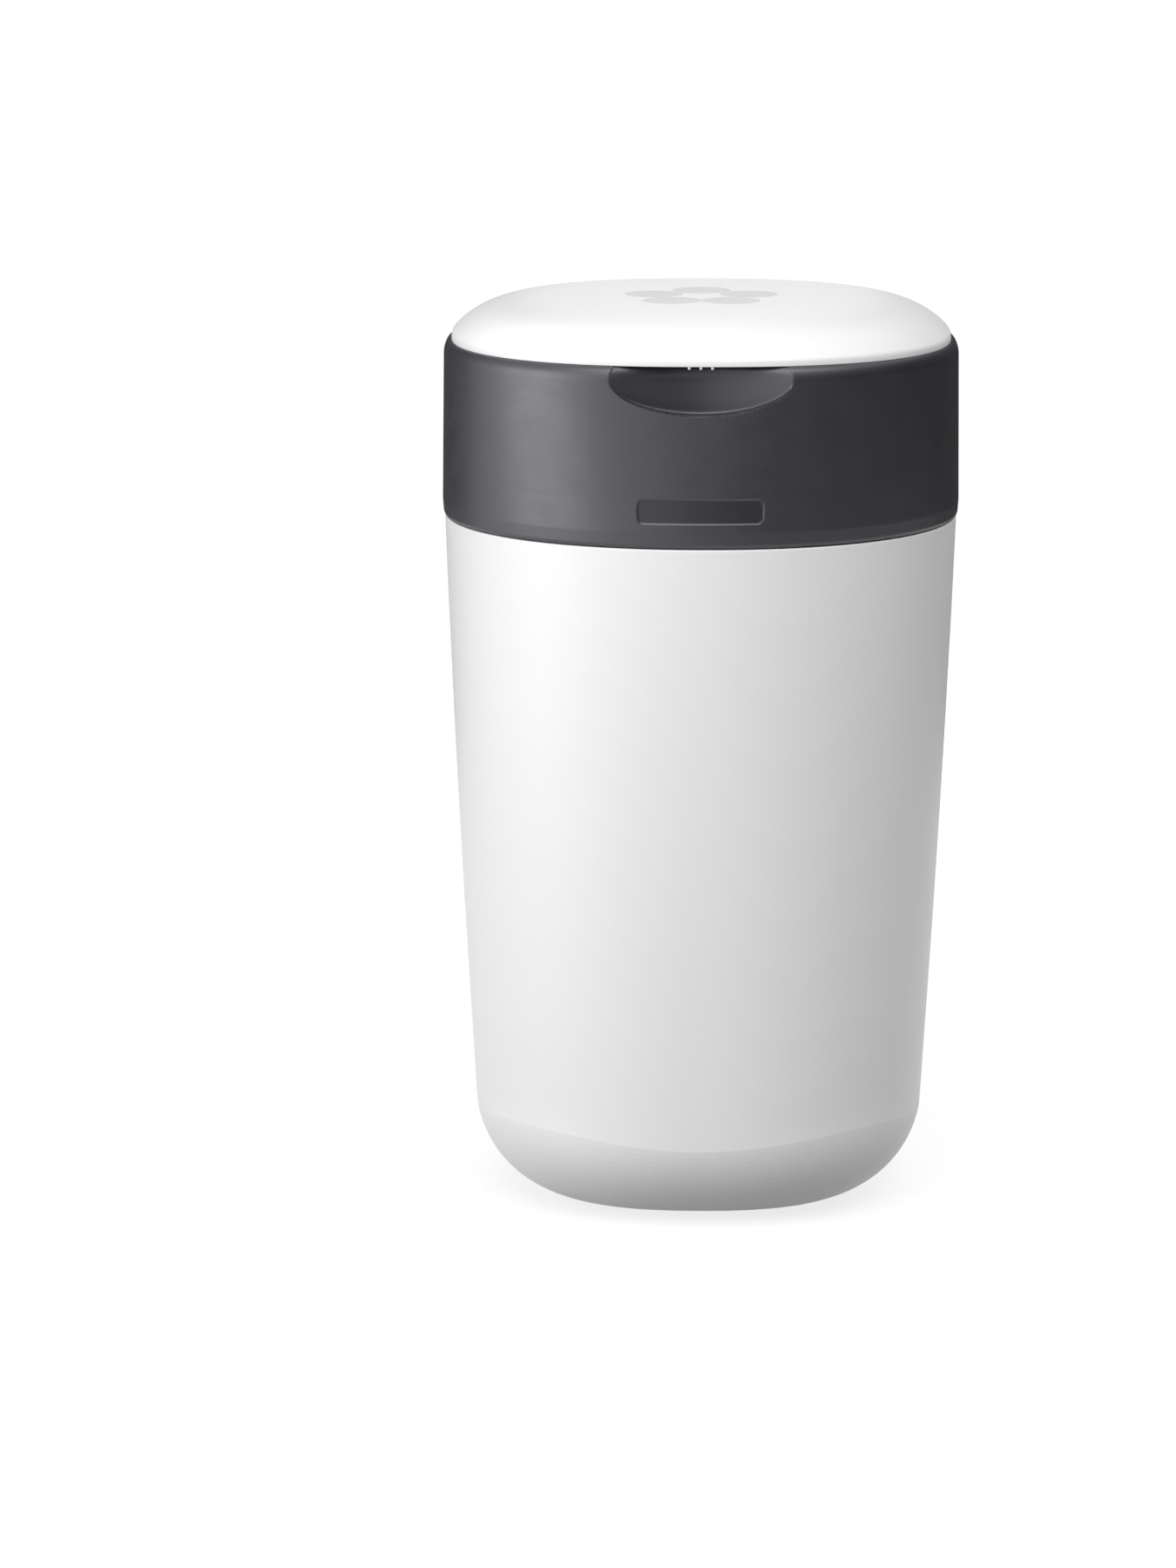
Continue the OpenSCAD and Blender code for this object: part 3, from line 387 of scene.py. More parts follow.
def makeLoftTree():
    # squared-off loft: each point of the profile (half width, squareness, height) becomes one ring
    tree, given = newTree("squaredLoft", {"Columns": "Int", "Front Columns": "Int", "Front Angle": "Float",
                                          "Material": "Material"})
    grid, column, row = makeRings(tree, given)
    ring = addNode(tree, "GeometryNodeInputPosition")
    ring = addNode(tree, "GeometryNodeSampleIndex",
                   {"Geometry": given["Geometry"], "Value": ring, "Index": row},
                   {"data_type": "FLOAT_VECTOR", "clamp": True})
    half, square, height = addNode(tree, "ShaderNodeSeparateXYZ", [ring]).outputs
    # columns are closer together across the front, where the scoop is
    front = addNode(tree, maths, [column, given["Front Columns"]], "MINIMUM")
    front = addNode(tree, maths, [front, given["Front Columns"]], "DIVIDE")
    rest = addNode(tree, "ShaderNodeMapRange", [column, given["Front Columns"], given["Columns"]])
    wedge = addNode(tree, maths, [given["Front Angle"], 2], "MULTIPLY")
    others = addNode(tree, maths, [2 * math.pi, wedge], "SUBTRACT")
    turn = addNode(tree, maths, [-math.pi / 2, given["Front Angle"]], "SUBTRACT")
    for share, angle in ((front, wedge), (rest, others)):
        turn = addNode(tree, maths, [share, angle, turn], "MULTIPLY_ADD")
    cosine, sine = (addNode(tree, maths, [turn], kind) for kind in ("COSINE", "SINE"))
    total = []
    for part in (cosine, sine):
        part = addNode(tree, maths, [part], "ABSOLUTE")
        total.append(addNode(tree, maths, [part, square], "POWER"))
    total = addNode(tree, maths, total, "ADD")
    root = addNode(tree, maths, [1.0, square], "DIVIDE")
    total = addNode(tree, maths, [total, root], "POWER")
    radius = addNode(tree, maths, [half, total], "DIVIDE")
    spot = addNode(tree, "ShaderNodeCombineXYZ", [cosine, sine, 0.0])
    spot = addNode(tree, vectorMaths, {0: spot, "Scale": radius}, "SCALE")
    lift = addNode(tree, "ShaderNodeCombineXYZ", [0.0, 0.0, height])
    spot = addNode(tree, vectorMaths, [spot, lift], "ADD")
    marked = addNode(tree, "GeometryNodeStoreNamedAttribute", {"Geometry": grid, "Name": "row", "Value": row},
                     {"data_type": "INT", "domain": "POINT"})
    return closeRings(tree, given, marked, spot)


loftTree = makeLoftTree()


def bend(corners, closed=False, gap=8):
    # a line through corners (half width, height, radius), rounded, with support points by each curve
    count = len(corners)
    points = []
    for i, (x, z, radius) in enumerate(corners):
        here = Vector((x, z))
        if not radius or (not closed and i in (0, count - 1)):
            points.append(here)
            continue
        before, after = Vector(corners[i - 1][:2]), Vector(corners[(i + 1) % count][:2])
        reach = min(radius, 0.45 * (before - here).length, 0.45 * (after - here).length)
        start, end = here + (before - here).normalized() * reach, here + (after - here).normalized() * reach
        for k in range(6):
            t = k / 5
            points.append(start * (1 - t) ** 2 + here * 2 * t * (1 - t) + end * t * t)
    if closed:
        points.append(points[0].copy())
    line = [points[0]]
    for nextPoint in points[1:]:
        last = line[-1]
        span = (nextPoint - last).length
        if span > 1.6:
            steps = math.ceil(span / gap)
            inner = [0.5 / span, 1 - 0.5 / span] + [k / steps for k in range(1, steps)]
            line += [last.lerp(nextPoint, t) for t in sorted(inner)]
        line.append(nextPoint)
    return line


# Squareness of the plan at each height, where 2 is round; it is mixed in between.
planSizes = {0: 2.7, 48: 2.4, 348: 2.15, 436: 2.4}


def planSquare(z):
    knots = list(planSizes.items())
    for (low, square), (high, squareAbove) in zip(knots, knots[1:]):
        if z < high:
            break
    return mix(square, squareAbove, clamp((z - low) / (high - low)))


def loft(line, material, columns=240, front=None, square=planSquare):
    # line holds (half width, height) in mm
    mesh = bpy.data.meshes.new("profile")
    mesh.from_pydata([(p[0] * mm, p[2] if len(p) > 2 else square(p[1]), p[1] * mm) for p in line],
                     [(i, i + 1) for i in range(len(line) - 1)], [])
    frontColumns, frontAngle = front or (columns // 2, math.pi / 2)
    return grow(loftTree, mesh, {"Columns": columns, "Front Columns": frontColumns, "Front Angle": frontAngle,
                                 "Material": material})


def carve(mesh, tools):
    # cuts other meshes out of one, exactly
    block = newObject("block", mesh)
    helpers = [newObject("tool", tool) for tool in tools]
    for helper in helpers:
        modifier = block.modifiers.new("carve", "BOOLEAN")
        modifier.solver = "EXACT"
        modifier.object = helper
    made = settle(block, True)
    for helper in helpers:
        bpy.data.objects.remove(helper)
    return made


def shade(mesh, sharp):
    # smooth, but for edges at more than the angle
    mesh.shade_smooth()
    mesh.set_sharp_from_angle(angle=math.radians(sharp))
    return mesh


def soften(mesh, width, segments=2):
    # small rounded edges where faces meet at more than 30 degrees
    holder = newObject("holder", mesh)
    if width:
        bevel = holder.modifiers.new("soften", "BEVEL")
        bevel.width = width * mm
        bevel.segments = segments
        bevel.limit_method = "ANGLE"
        bevel.angle_limit = math.radians(30)
        bevel.miter_outer = "MITER_ARC"
    return shade(settle(holder), 38)


def fromWork(work):
    mesh = bpy.data.meshes.new("made")
    work.to_mesh(mesh)
    work.free()
    return mesh


def rodMesh(x0, x1, radius, y, z):
    work = bmesh.new()
    bmesh.ops.create_cone(work, cap_ends=True, segments=48, radius1=radius * mm, radius2=radius * mm,
                          depth=(x1 - x0) * mm)
    bmesh.ops.rotate(work, verts=work.verts, matrix=Matrix.Rotation(math.pi / 2, 3, "Y"))
    bmesh.ops.translate(work, verts=work.verts, vec=Vector(((x0 + x1) / 2, y, z)) * mm)
    return fromWork(work)


def boxMesh(low, high):
    work = bmesh.new()
    bmesh.ops.create_cube(work, size=1)
    size = Vector(high) - Vector(low)
    bmesh.ops.scale(work, verts=work.verts, vec=size * mm)
    bmesh.ops.translate(work, verts=work.verts, vec=(Vector(low) + Vector(high)) / 2 * mm)
    return fromWork(work)


def knuckle(x0, x1, radius, y, z, root):
    # bar along X round a rod's axis at y and z, drawn out to the points of its root
    turns = [i * math.pi / 20 for i in range(40)]
    outline = [(y + radius * math.cos(a), z + radius * math.sin(a)) for a in turns] + root
    work = bmesh.new()
    for x in (x0, x1):
        bmesh.ops.convex_hull(work, input=[work.verts.new((x * mm, y * mm, z * mm)) for y, z in outline],
                              use_existing_faces=False)
    bmesh.ops.delete(work, geom=work.faces[:], context="FACES_ONLY")
    bmesh.ops.convex_hull(work, input=work.verts)
    bmesh.ops.dissolve_limit(work, angle_limit=0.02, verts=work.verts, edges=work.edges)
    bmesh.ops.recalc_face_normals(work, faces=work.faces)
    return soften(fromWork(work), 0.35)


def bothSides(inner, outer):
    return (-outer, -inner), (inner, outer)


def joinMeshes(meshes, material):
    work = bmesh.new()
    for mesh in meshes:
        work.from_mesh(mesh)
    joined = fromWork(work)
    joined.materials.clear()
    joined.materials.append(material)
    for face in joined.polygons:
        face.material_index = 0
    return joined


def piece(name, mesh, body, node, material=None):
    # a visible piece on its body, in place of the CAD node that it dresses
    if material:
        mesh.materials.clear()
        mesh.materials.append(material)
    mesh.name = name
    made = newObject(name, mesh)
    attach(made, body)
    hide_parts(node)


# Tub: tapered wall, rolled base on a foot ring, and a lip for the collar.
tubSizes = dict(baseHalf=113.5, topHalf=128.8, roll=48, rollLast=77, rollPower=2.3, rollWave=7,
                rollReach=100, bow=1.2, wall=2.6, footHalf=54, footWidth=8, recess=1.5,
                waist=348, lipHalf=124.5, lipHeight=12, lipWall=2.3, notchHalf=52, notchLow=330,
                notchHigh=380, notchBack=131, axisY=119, axisZ=341, lugRadius=4.2, lugLow=321.5,
                lugIn=26, lugOut=34, columns=300)


def makeTub(s):
    foot, roll, wall = s["footHalf"], s["roll"], s["wall"]
    shoulder = s["waist"] - 0.5
    floorZ = wall + s["recess"]

    def side(z):
        share = (z - roll) / (s["waist"] - roll)
        return mix(s["baseHalf"], s["topHalf"], share) + s["bow"] * 4 * share * (1 - share)

    def rollAt(share):
        a, power = math.radians(s["rollLast"]) * share, 2 / s["rollPower"]
        return math.sin(a) ** power, 1 - math.cos(a) ** power

    # the roll meets the side in a crease of about ten degrees, as the shading of the base shows
    creaseZ = roll - 2
    endHalf, endHigh = rollAt(1)
    wide, high = (side(creaseZ) - foot) / endHalf, creaseZ / endHigh
    outer = [(foot + wide * u, high * v, 0) for u, v in (rollAt(i / 26) for i in range(1, 27))]
    outer[-1] = (*outer[-1][:2], 0.7)
    inner = [(foot + (wide - wall) * u, mix(floorZ, creaseZ, v / endHigh), 0)
             for u, v in (rollAt(i / 12) for i in range(12, 0, -1))]
    footIn, lip, lipZ = foot - s["footWidth"], s["lipHalf"], s["waist"] + s["lipHeight"]
    lipIn = lip - s["lipWall"]
    levels = (60, 100, 150, 200, 250, 300, 335)
    corners = [(0, s["recess"], 0), (footIn, s["recess"], 0.6), (footIn, 0, 0.7), (foot, 0, 0)] + outer
    corners += [(side(z), z, 0) for z in levels]
    corners += [(side(shoulder), shoulder, 0.9), (lip, shoulder, 0.5), (lip - 0.6, lipZ - 1.4, 0.8),
                (lip - 1.2, lipZ, 0.5), (lipIn, lipZ, 0.5), (lipIn, shoulder - 2, 2),
                (side(shoulder) - wall, shoulder - 6, 3)]
    corners += [(side(z) - wall, z, 0) for z in reversed(levels)]
    corners += inner + [(0, floorZ, 0)]
    shell = loft(bend(corners, gap=14), glossWhite, s["columns"])
    # the crease runs lower in the middle of each side than round the corners
    for vertex in shell.vertices:
        z = vertex.co.z / mm
        if z < s["rollReach"]:
            share = z / roll if z < roll else (s["rollReach"] - z) / (s["rollReach"] - roll)
            vertex.co.z -= s["rollWave"] / 2 * math.cos(4 * math.atan2(vertex.co.y, vertex.co.x)) * share * mm
    notch = boxMesh((-s["notchHalf"], s["axisY"] - 12, s["notchLow"]),
                    (s["notchHalf"], s["notchBack"], s["notchHigh"]))
    shell = carve(shell, [soften(notch, 2.5, 4)])
    axisY, radius = s["axisY"], s["lugRadius"]
    root = [(axisY - radius, s["lugLow"]), (axisY + radius, s["lugLow"])]
    lugs = [knuckle(x0, x1, radius, axisY, s["axisZ"], root) for x0, x1 in bothSides(s["lugIn"], s["lugOut"])]
    tub = joinMeshes([shell] + lugs, glossWhite)
    piece("moulded_tub", shade(tub, 36), "base", "tub")


makeTub(tubSizes)
print("tub made")

# Collar: the charcoal top unit's shell, with its finger scoop and the bare badge recess.
collarSizes = dict(half=130, topHalf=129, low=348, high=436, wall=2.6, tuck=2.3, lean=0.4,
                   tuckHeight=7.6, filletWidth=4, filletHeight=7, beadWidth=3.2, beadHeight=3.5,
                   shelf=2.5, curbWidth=6.5, curbHeight=8.5, trayHalf=111, lipHalf=125.5,
                   lidGap=(46, 116, 126.2),
                   # from and to either side, radius, its place in Y and Z, and the points of its root
                   knuckles=[(13.6, 25.6, 4.2, 119, 341, (118, 372), (123.2, 372), (127, 352), (127, 372)),
                             (12.5, 20.5, 3.8, 120.5, 438, (117.5, 431.5), (123.5, 431.5))],
                   columns=520, frontColumns=300, frontAngle=math.radians(24.5))
scoopSizes = dict(half=44.5, depth=12.6, taper=2.2, taperTall=5.8, drop=0.05, wideZ=430.2,
                  tall=17.5, above=18, rim=0.4, sink=0.15, sinkTall=9)
badgeSizes = dict(half=30.5, tall=5.9, z=366.1, corner=3.2, depth=0.55, edge=0.9)


def collarOuterHalf(z, s):
    edge = s["high"] - s["filletHeight"]
    if z <= edge:
        return mix(s["half"], s["topHalf"], max(z - s["low"], 0) / (edge - s["low"]))
    lift = min((z - edge) / s["filletHeight"], 1)
    return s["topHalf"] - s["filletWidth"] * (1 - math.sqrt(max(1 - lift * lift, 0)))


def scoopPush(x, z, k):
    # how far the wall is pushed in at x and z, with a soft rim where bowl and wall meet
    u = (k["wideZ"] - z) / (k["tall"] if z < k["wideZ"] else k["above"])
    across = 1 - (x / k["half"]) ** 2
    # it is less deep at the top, where the lid's seal comes down behind it
    deep = k["depth"] - k["taper"] * clamp((z - k["wideZ"]) / k["taperTall"])
    if across <= 0.003 or across < u * u:
        d = max(across - u * u, -1) * deep
    else:
        # the bowl drops quickly inside its lower edge and is hollow from side to side
        d = deep * across * (1 - math.exp(-(1 - u * u / across) / k["drop"])) / (1 - math.exp(-1 / k["drop"]))
    return 0.5 * (d + math.sqrt(d * d + k["rim"] ** 2)) if d > -6 else 0


def makeCollar(s):
    high, low = s["high"], s["low"]
    edge = high - s["filletHeight"]
    shelfZ, curbZ = high - s["beadHeight"], high - s["beadHeight"] - s["curbHeight"]
    lidHalf = s["topHalf"] - s["filletWidth"]
    shelfHalf = s["trayHalf"] - s["curbWidth"]
    # rows of half width, height, height at which the scoop is read and share of its push
    rows = []

    def add(points, readAt=None, share=lambda half: 1):
        rows.extend((p[0], p[1], readAt or p[1], share(p[0])) for p in points)

    def fade(inner, outer):
        # no push at the inner half width, all of it at the outer
        return lambda half: clamp((half - inner) / (outer - inner))

    # the foot leans in a little under a crisp line, and its edge is rounded
    line = collarOuterHalf(low + s["tuckHeight"], s)
    add(bend([(line - s["tuck"], low, 0), (line - s["lean"] - 0.5, low + 0.35, 1),
              (line - s["lean"], low + 1.6, 1), (line - 0.03, low + s["tuckHeight"] - 0.4, 0.2),
              (line, low + s["tuckHeight"], 0)]))
    # rows are close together at the badge's edges, in the scoop and round the top edge
    heights = [356.8, 357.8, 358.9] + [359.5 + 0.3 * i for i in range(6)] + [361.7, 363, 365, 367, 369, 370.5]
    heights += [371.2 + 0.3 * i for i in range(6)] + [373.5, 375, 380, 386, 392, 398, 403, 407, 409]
    heights += [410 + 0.45 * i for i in range(42)]
    heights += [high - s["filletHeight"] * (1 - math.sin(math.pi / 2 * i / 13)) for i in range(14)]
    add([(collarOuterHalf(z, s), z) for z in heights])
    beadHalf, wallHalf = lidHalf - s["beadWidth"], s["topHalf"] - s["wall"]
    ledge = fade(shelfHalf + 0.5, beadHalf - 0.5)
    add(bend([(lidHalf, high, 0), (beadHalf, high, 0.6), (beadHalf - 0.5, shelfZ, 0.5),
              (beadHalf - 3, shelfZ, 0)], gap=2)[1:], high, ledge)
    add(bend([(beadHalf - 3, shelfZ, 0), (shelfHalf, shelfZ, 0.6), (shelfHalf, curbZ, 0)], gap=3)[1:],
        high, ledge)
    trayHalf, underZ = s["trayHalf"], shelfZ - s["shelf"]
    under = [(shelfHalf, curbZ, 0), (trayHalf, curbZ, 0), (trayHalf, underZ, 0), (wallHalf, underZ, 0)]
    add(bend(under, gap=3)[1:], edge, fade(trayHalf, wallHalf))
    # down the inside, where the wall follows the scoop, to the lip over the tub
    add([(wallHalf + (edge - z) / 90, z) for z in [edge - 1.5 * i for i in range(14)] + [400, 385]])
    add(bend([(s["half"] - s["wall"] - 0.4, 376, 0), (s["lipHalf"], low + 15, 0), (s["lipHalf"], low, 0)],
             gap=6))
    rows.append(rows[0])
    front = s["frontColumns"], s["frontAngle"]
    mesh = loft([row[:2] for row in rows], satinCharcoal, s["columns"], front)
    rowOf = [value.value for value in mesh.attributes["row"].data]
    k, b = scoopSizes, badgeSizes
    for vertex, index in zip(mesh.vertices, rowOf):
        x, y, z = (c / mm for c in vertex.co)
        if y > -80:
            continue
        half, _, readAt, share = rows[index]
        if z > 400 and share > 0:
            # the bowl's floor sinks behind its lip, like a cup
            push = scoopPush(x, readAt, k) * share
            vertex.co.y += push * mm
            vertex.co.z -= k["sink"] * push * clamp((k["wideZ"] - readAt) / k["sinkTall"]) * mm
        elif z < b["z"] + b["tall"] + 2 and half > s["half"] - 3.5:
            # rounded rectangle, pressed in with a short slope at its edge
            dx, dz = abs(x) - b["half"] + b["corner"], abs(z - b["z"]) - b["tall"] + b["corner"]
            inside = b["corner"] - math.hypot(max(dx, 0), max(dz, 0)) - min(max(dx, dz), 0)
            t = clamp(inside / b["edge"] + 0.5)
            vertex.co.y += b["depth"] * t * t * (3 - 2 * t) * mm
    mesh.attributes.remove(mesh.attributes["row"])
    gapHalf, gapFront, gapBack = s["lidGap"]
    mesh = carve(mesh, [soften(boxMesh((-gapHalf, gapFront, shelfZ), (gapHalf, gapBack, high + 4)), 0)])
    parts = [mesh]
    for inner, outer, radius, y, z, *root in s["knuckles"]:
        for x0, x1 in bothSides(inner, outer):
            parts.append(knuckle(x0, x1, radius, y, z, root))
    mesh = joinMeshes(parts, satinCharcoal)
    mesh.materials.append(polishedCharcoal)
    for face in mesh.polygons:
        x, y, z = face.center / mm
        if y < -120 and abs(x) < b["half"] - 0.2 and abs(z - b["z"]) < b["tall"] - 0.2:
            face.material_index = 1
    piece("charcoal_collar", shade(mesh, 40), "top_unit", "collar")


makeCollar(collarSizes)
print("collar made")

# Lid: a domed shell with knuckles at its rear edge and three nibs under its front edge.
# The crown is squarer than the rim.
lidSizes = dict(half=125, low=436.05, edge=3.35, dome=16.81, power=8, crown=2.64, rim=2.4,
                wall=2.4, pinY=120.5, pinZ=438, knuckle=3.8, lugIn=12.1, lugOut=20.9, end=36,
                sweep=6.6, nibs=(-5.6, 0, 5.6), nibRadius=0.75, nibTall=1.6, nibIn=1.2,
                nibLow=434.5, columns=320)


def makeLid(s):
    base = s["low"] + s["edge"]
    # rings at these shares of the half width: the outer seven are for the inside, as a soft edge
    # joins the upright rim and the dome on the outside
    rimShares = [1 - 0.004 * i for i in range(1, 8)]
    shares = [0.964, 0.955, 0.943, 0.93, 0.915, 0.898, 0.88, 0.86, 0.838, 0.815, 0.79, 0.76, 0.73, 0.69, 0.65,
              0.6, 0.54, 0.47, 0.4, 0.32, 0.24, 0.16, 0.08, 0]

    def dome(inset, share):
        height = base + s["dome"] * (1 - share ** s["power"]) - inset
        return (s["half"] - inset) * share, height, mix(s["crown"], s["rim"], share)

    inner = s["half"] - s["wall"]
    rim = bend([(inner, s["low"] + 1.2, 0), (inner, s["low"], 0.4), (s["half"], s["low"], 0.25),
                (s["half"], base, 2.2), (*dome(0, rimShares[-1])[:2], 0)])
    line = [(p[0], p[1], s["rim"]) for p in rim] + [dome(0, share) for share in shares]
    line += [dome(s["wall"], share) for share in reversed(rimShares + shares)]
    line.append((inner, s["low"] + 1.2, s["rim"]))
    pinY, pinZ = s["pinY"], s["pinZ"]
    sweeps = [rodMesh(x0, x1, s["sweep"], pinY, pinZ) for x0, x1 in bothSides(s["lugIn"], s["lugOut"])]
    parts = [carve(loft(line, lidWhite, s["columns"]), sweeps)]
    web = [(pinY - 1, pinZ + 5), (pinY + 2.4, pinZ + 5)]
    for x0, x1 in ((-s["lugIn"], s["lugIn"]), *bothSides(s["lugOut"], s["end"])):
        parts.append(knuckle(x0, x1, s["knuckle"], pinY, pinZ, web))
    for x in s["nibs"]:
        work = bmesh.new()
        bmesh.ops.create_uvsphere(work, u_segments=20, v_segments=12, radius=s["nibRadius"] * mm)
        for vertex in work.verts:
            vertex.co.z += (0 if vertex.co.z < 0 else s["nibTall"]) * mm
        middle = Vector((x, s["nibIn"] - s["half"], s["nibLow"] + s["nibRadius"])) * mm
        bmesh.ops.translate(work, verts=work.verts, vec=middle)
        parts.append(fromWork(work))
    piece("domed_lid", shade(joinMeshes(parts, lidWhite), 34), "lid", "lid_shell")


makeLid(lidSizes)
print("lid made")


def cadCopy(node, width):
    # a clean copy of a CAD node with softened edges
    work = bmesh.new()
    work.from_mesh(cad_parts[node].data)
    bmesh.ops.remove_doubles(work, verts=work.verts, dist=2e-6)
    bmesh.ops.dissolve_limit(work, angle_limit=math.radians(0.6), verts=work.verts, edges=work.edges)
    return soften(fromWork(work), width)


# Lid panel and seal: the panel closes the lid from below, the seal lies under its edge.
panelSizes = dict(half=115.5, low=438, high=440.4, square=2.4, dish=96, dishRise=0.9)
sealSizes = dict(half=108, low=432.95, high=438, square=2.4, foot=2.45, lip=1.1)


def makeLidUnderside(p, s):
    half, low, high, dish = p["half"], p["low"], p["high"], p["dish"]
    line = bend([(0, low + p["dishRise"], 0), (dish, low + p["dishRise"], 2), (dish + 3, low, 2),
                 (half, low, 0.5), (half, high, 0.4), (0, high, 0)], gap=9)
    panel = loft(line, innerWhite, square=lambda z: p["square"])
    piece("lid_inner_panel", panel, "lid", "lid_panel")
    # a foot under the panel and two thin lips that close on the collar's shelf
    half, foot, low = s["half"], s["foot"], s["low"]
    middle = mix(low, s["high"], 0.62)
    flank = [(foot, s["high"], 0.3), (foot, middle, 0.5), (foot - 0.4, low, 0.5),
             (foot - 0.4 - s["lip"], low, 0.4), (0.5, middle - 0.9, 0.6)]
    line = [(half - x, z, r) for x, z, r in flank] + [(half + x, z, r) for x, z, r in reversed(flank)]
    seal = loft(bend(line, True, gap=4), softGrey, square=lambda z: s["square"])
    piece("lid_odour_seal", seal, "lid", "lid_seal")


makeLidUnderside(panelSizes, sealSizes)


def makeCopiesTree():
    # one copy of a piece on each point, turned to face away from the middle
    tree, given = newTree("copiesOnPoints", {"Piece": "Object", "Material": "Material"})
    place = addNode(tree, "GeometryNodeInputPosition")
    x, y, z = addNode(tree, "ShaderNodeSeparateXYZ", [place]).outputs
    turn = addNode(tree, maths, [y, x], {"operation": "ARCTAN2"})
    turn = addNode(tree, "ShaderNodeCombineXYZ", [0.0, 0.0, turn])
    turn = addNode(tree, "FunctionNodeEulerToRotation", [turn])
    source = addNode(tree, "GeometryNodeObjectInfo", {"Object": given["Piece"]})
    copies = addNode(tree, "GeometryNodeInstanceOnPoints",
                     {"Points": given["Geometry"], "Instance": source.outputs["Geometry"], "Rotation": turn})
    smooth = addNode(tree, "GeometryNodeSetShadeSmooth", {"Geometry": copies})
    return closeTree(tree, smooth, given["Material"])


copiesTree = makeCopiesTree()


def copies(mesh, places, material):
    # places are (distance from the middle, angle, height) in mm and degrees
    source = newObject("source", mesh)
    points = bpy.data.meshes.new("places")
    points.from_pydata([(r * mm * math.cos(math.radians(a)), r * mm * math.sin(math.radians(a)), z * mm)
                        for r, a, z in places], [], [])
    made = grow(copiesTree, points, {"Piece": source, "Material": material})
    bpy.data.objects.remove(source)
    return made


def spunMesh(profile, steps=32):
    # profile of (radius, height) in mm turned about Z and closed at both ends
    work = bmesh.new()
    line = [work.verts.new((r * mm, 0, z * mm)) for r, z in profile]
    edges = [work.edges.new((line[i], line[i + 1])) for i in range(len(line) - 1)]
    bmesh.ops.spin(work, geom=line + edges, cent=(0, 0, 0), axis=(0, 0, 1), angle=2 * math.pi, steps=steps,
                   use_merge=True, use_duplicate=False)
    bmesh.ops.remove_doubles(work, verts=work.verts, dist=1e-6)
    bmesh.ops.recalc_face_normals(work, faces=work.faces)
    return fromWork(work)


# Screws: pan heads with a cross recess and a coarse plastic thread, heads down.
screwSizes = dict(headRadius=2.95, headHeight=1.8, shank=1.22, crest=1.46, pitch=0.9,
                  recess=3.3, recessWidth=0.75, recessDepth=1.0, trayAt=(107.75, 424),
                  sets=dict(tray_screws=("top_unit", [(None, 30 + 60 * i) for i in range(6)]),
                            gripper_screws=("top_unit", [(61.5, 45 + 90 * i) for i in range(4)]),
                            lid_screws=("lid", [(75 * math.sqrt(2), 45 + 90 * i) for i in range(4)])))


def squareRadius(half, square, degrees):
    c, n = abs(math.cos(math.radians(degrees))), abs(math.sin(math.radians(degrees)))
    return half / (c ** square + n ** square) ** (1 / square)


def makeScrews(s):
    for node, (body, places) in s["sets"].items():
        low, high = (corner.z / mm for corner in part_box(node))
        length = high - low
        r, h = s["headRadius"], s["headHeight"]
        profile = [(0, 0), (r * 0.5, 0.06), (r * 0.8, 0.28), (r * 0.97, 0.75), (r, 1.1), (r, h - 0.1),
                   (r - 0.1, h), (s["shank"], h)]
        turns = int((length - h - 1.2) / s["pitch"])
        for i in range(turns):
            z = h + 0.3 + i * s["pitch"]
            profile += [(s[at], z + s["pitch"] * up)
                        for at, up in (("shank", 0), ("crest", 0.4), ("crest", 0.5), ("shank", 0.9))]
        profile += [(s["shank"], length - 0.5), (s["shank"] - 0.45, length - 0.02), (0, length - 0.02)]
        half, deep, w = s["recess"] / 2, s["recessDepth"], s["recessWidth"] / 2
        bars = [boxMesh((-half, -w, -1), (half, w, deep)), boxMesh((-w, -half, -1), (w, half, deep))]
        screw = carve(spunMesh(profile), bars)
        trayHalf, trayZ = s["trayAt"]
        spots = [(r or squareRadius(trayHalf, planSquare(trayZ), a), a, low) for r, a in places]
        piece("fitted_" + node, shade(copies(screw, spots, zincScrew), 35), body, node)


makeScrews(screwSizes)
print("lid underside and screws made")

# Gripper: a soft ring with twelve fingers that bend out as a nappy is pushed through.
gripperSizes = dict(outer=66, inner=55, low=354, high=357, count=12, wide=9, thick=2.4,
                    rootRadius=54.2, tipRadius=26.2, tipHeight=334.2, bow=2.2,
                    tipWide=0.62, tipThick=0.72, roundFrom=0.86, at=50)


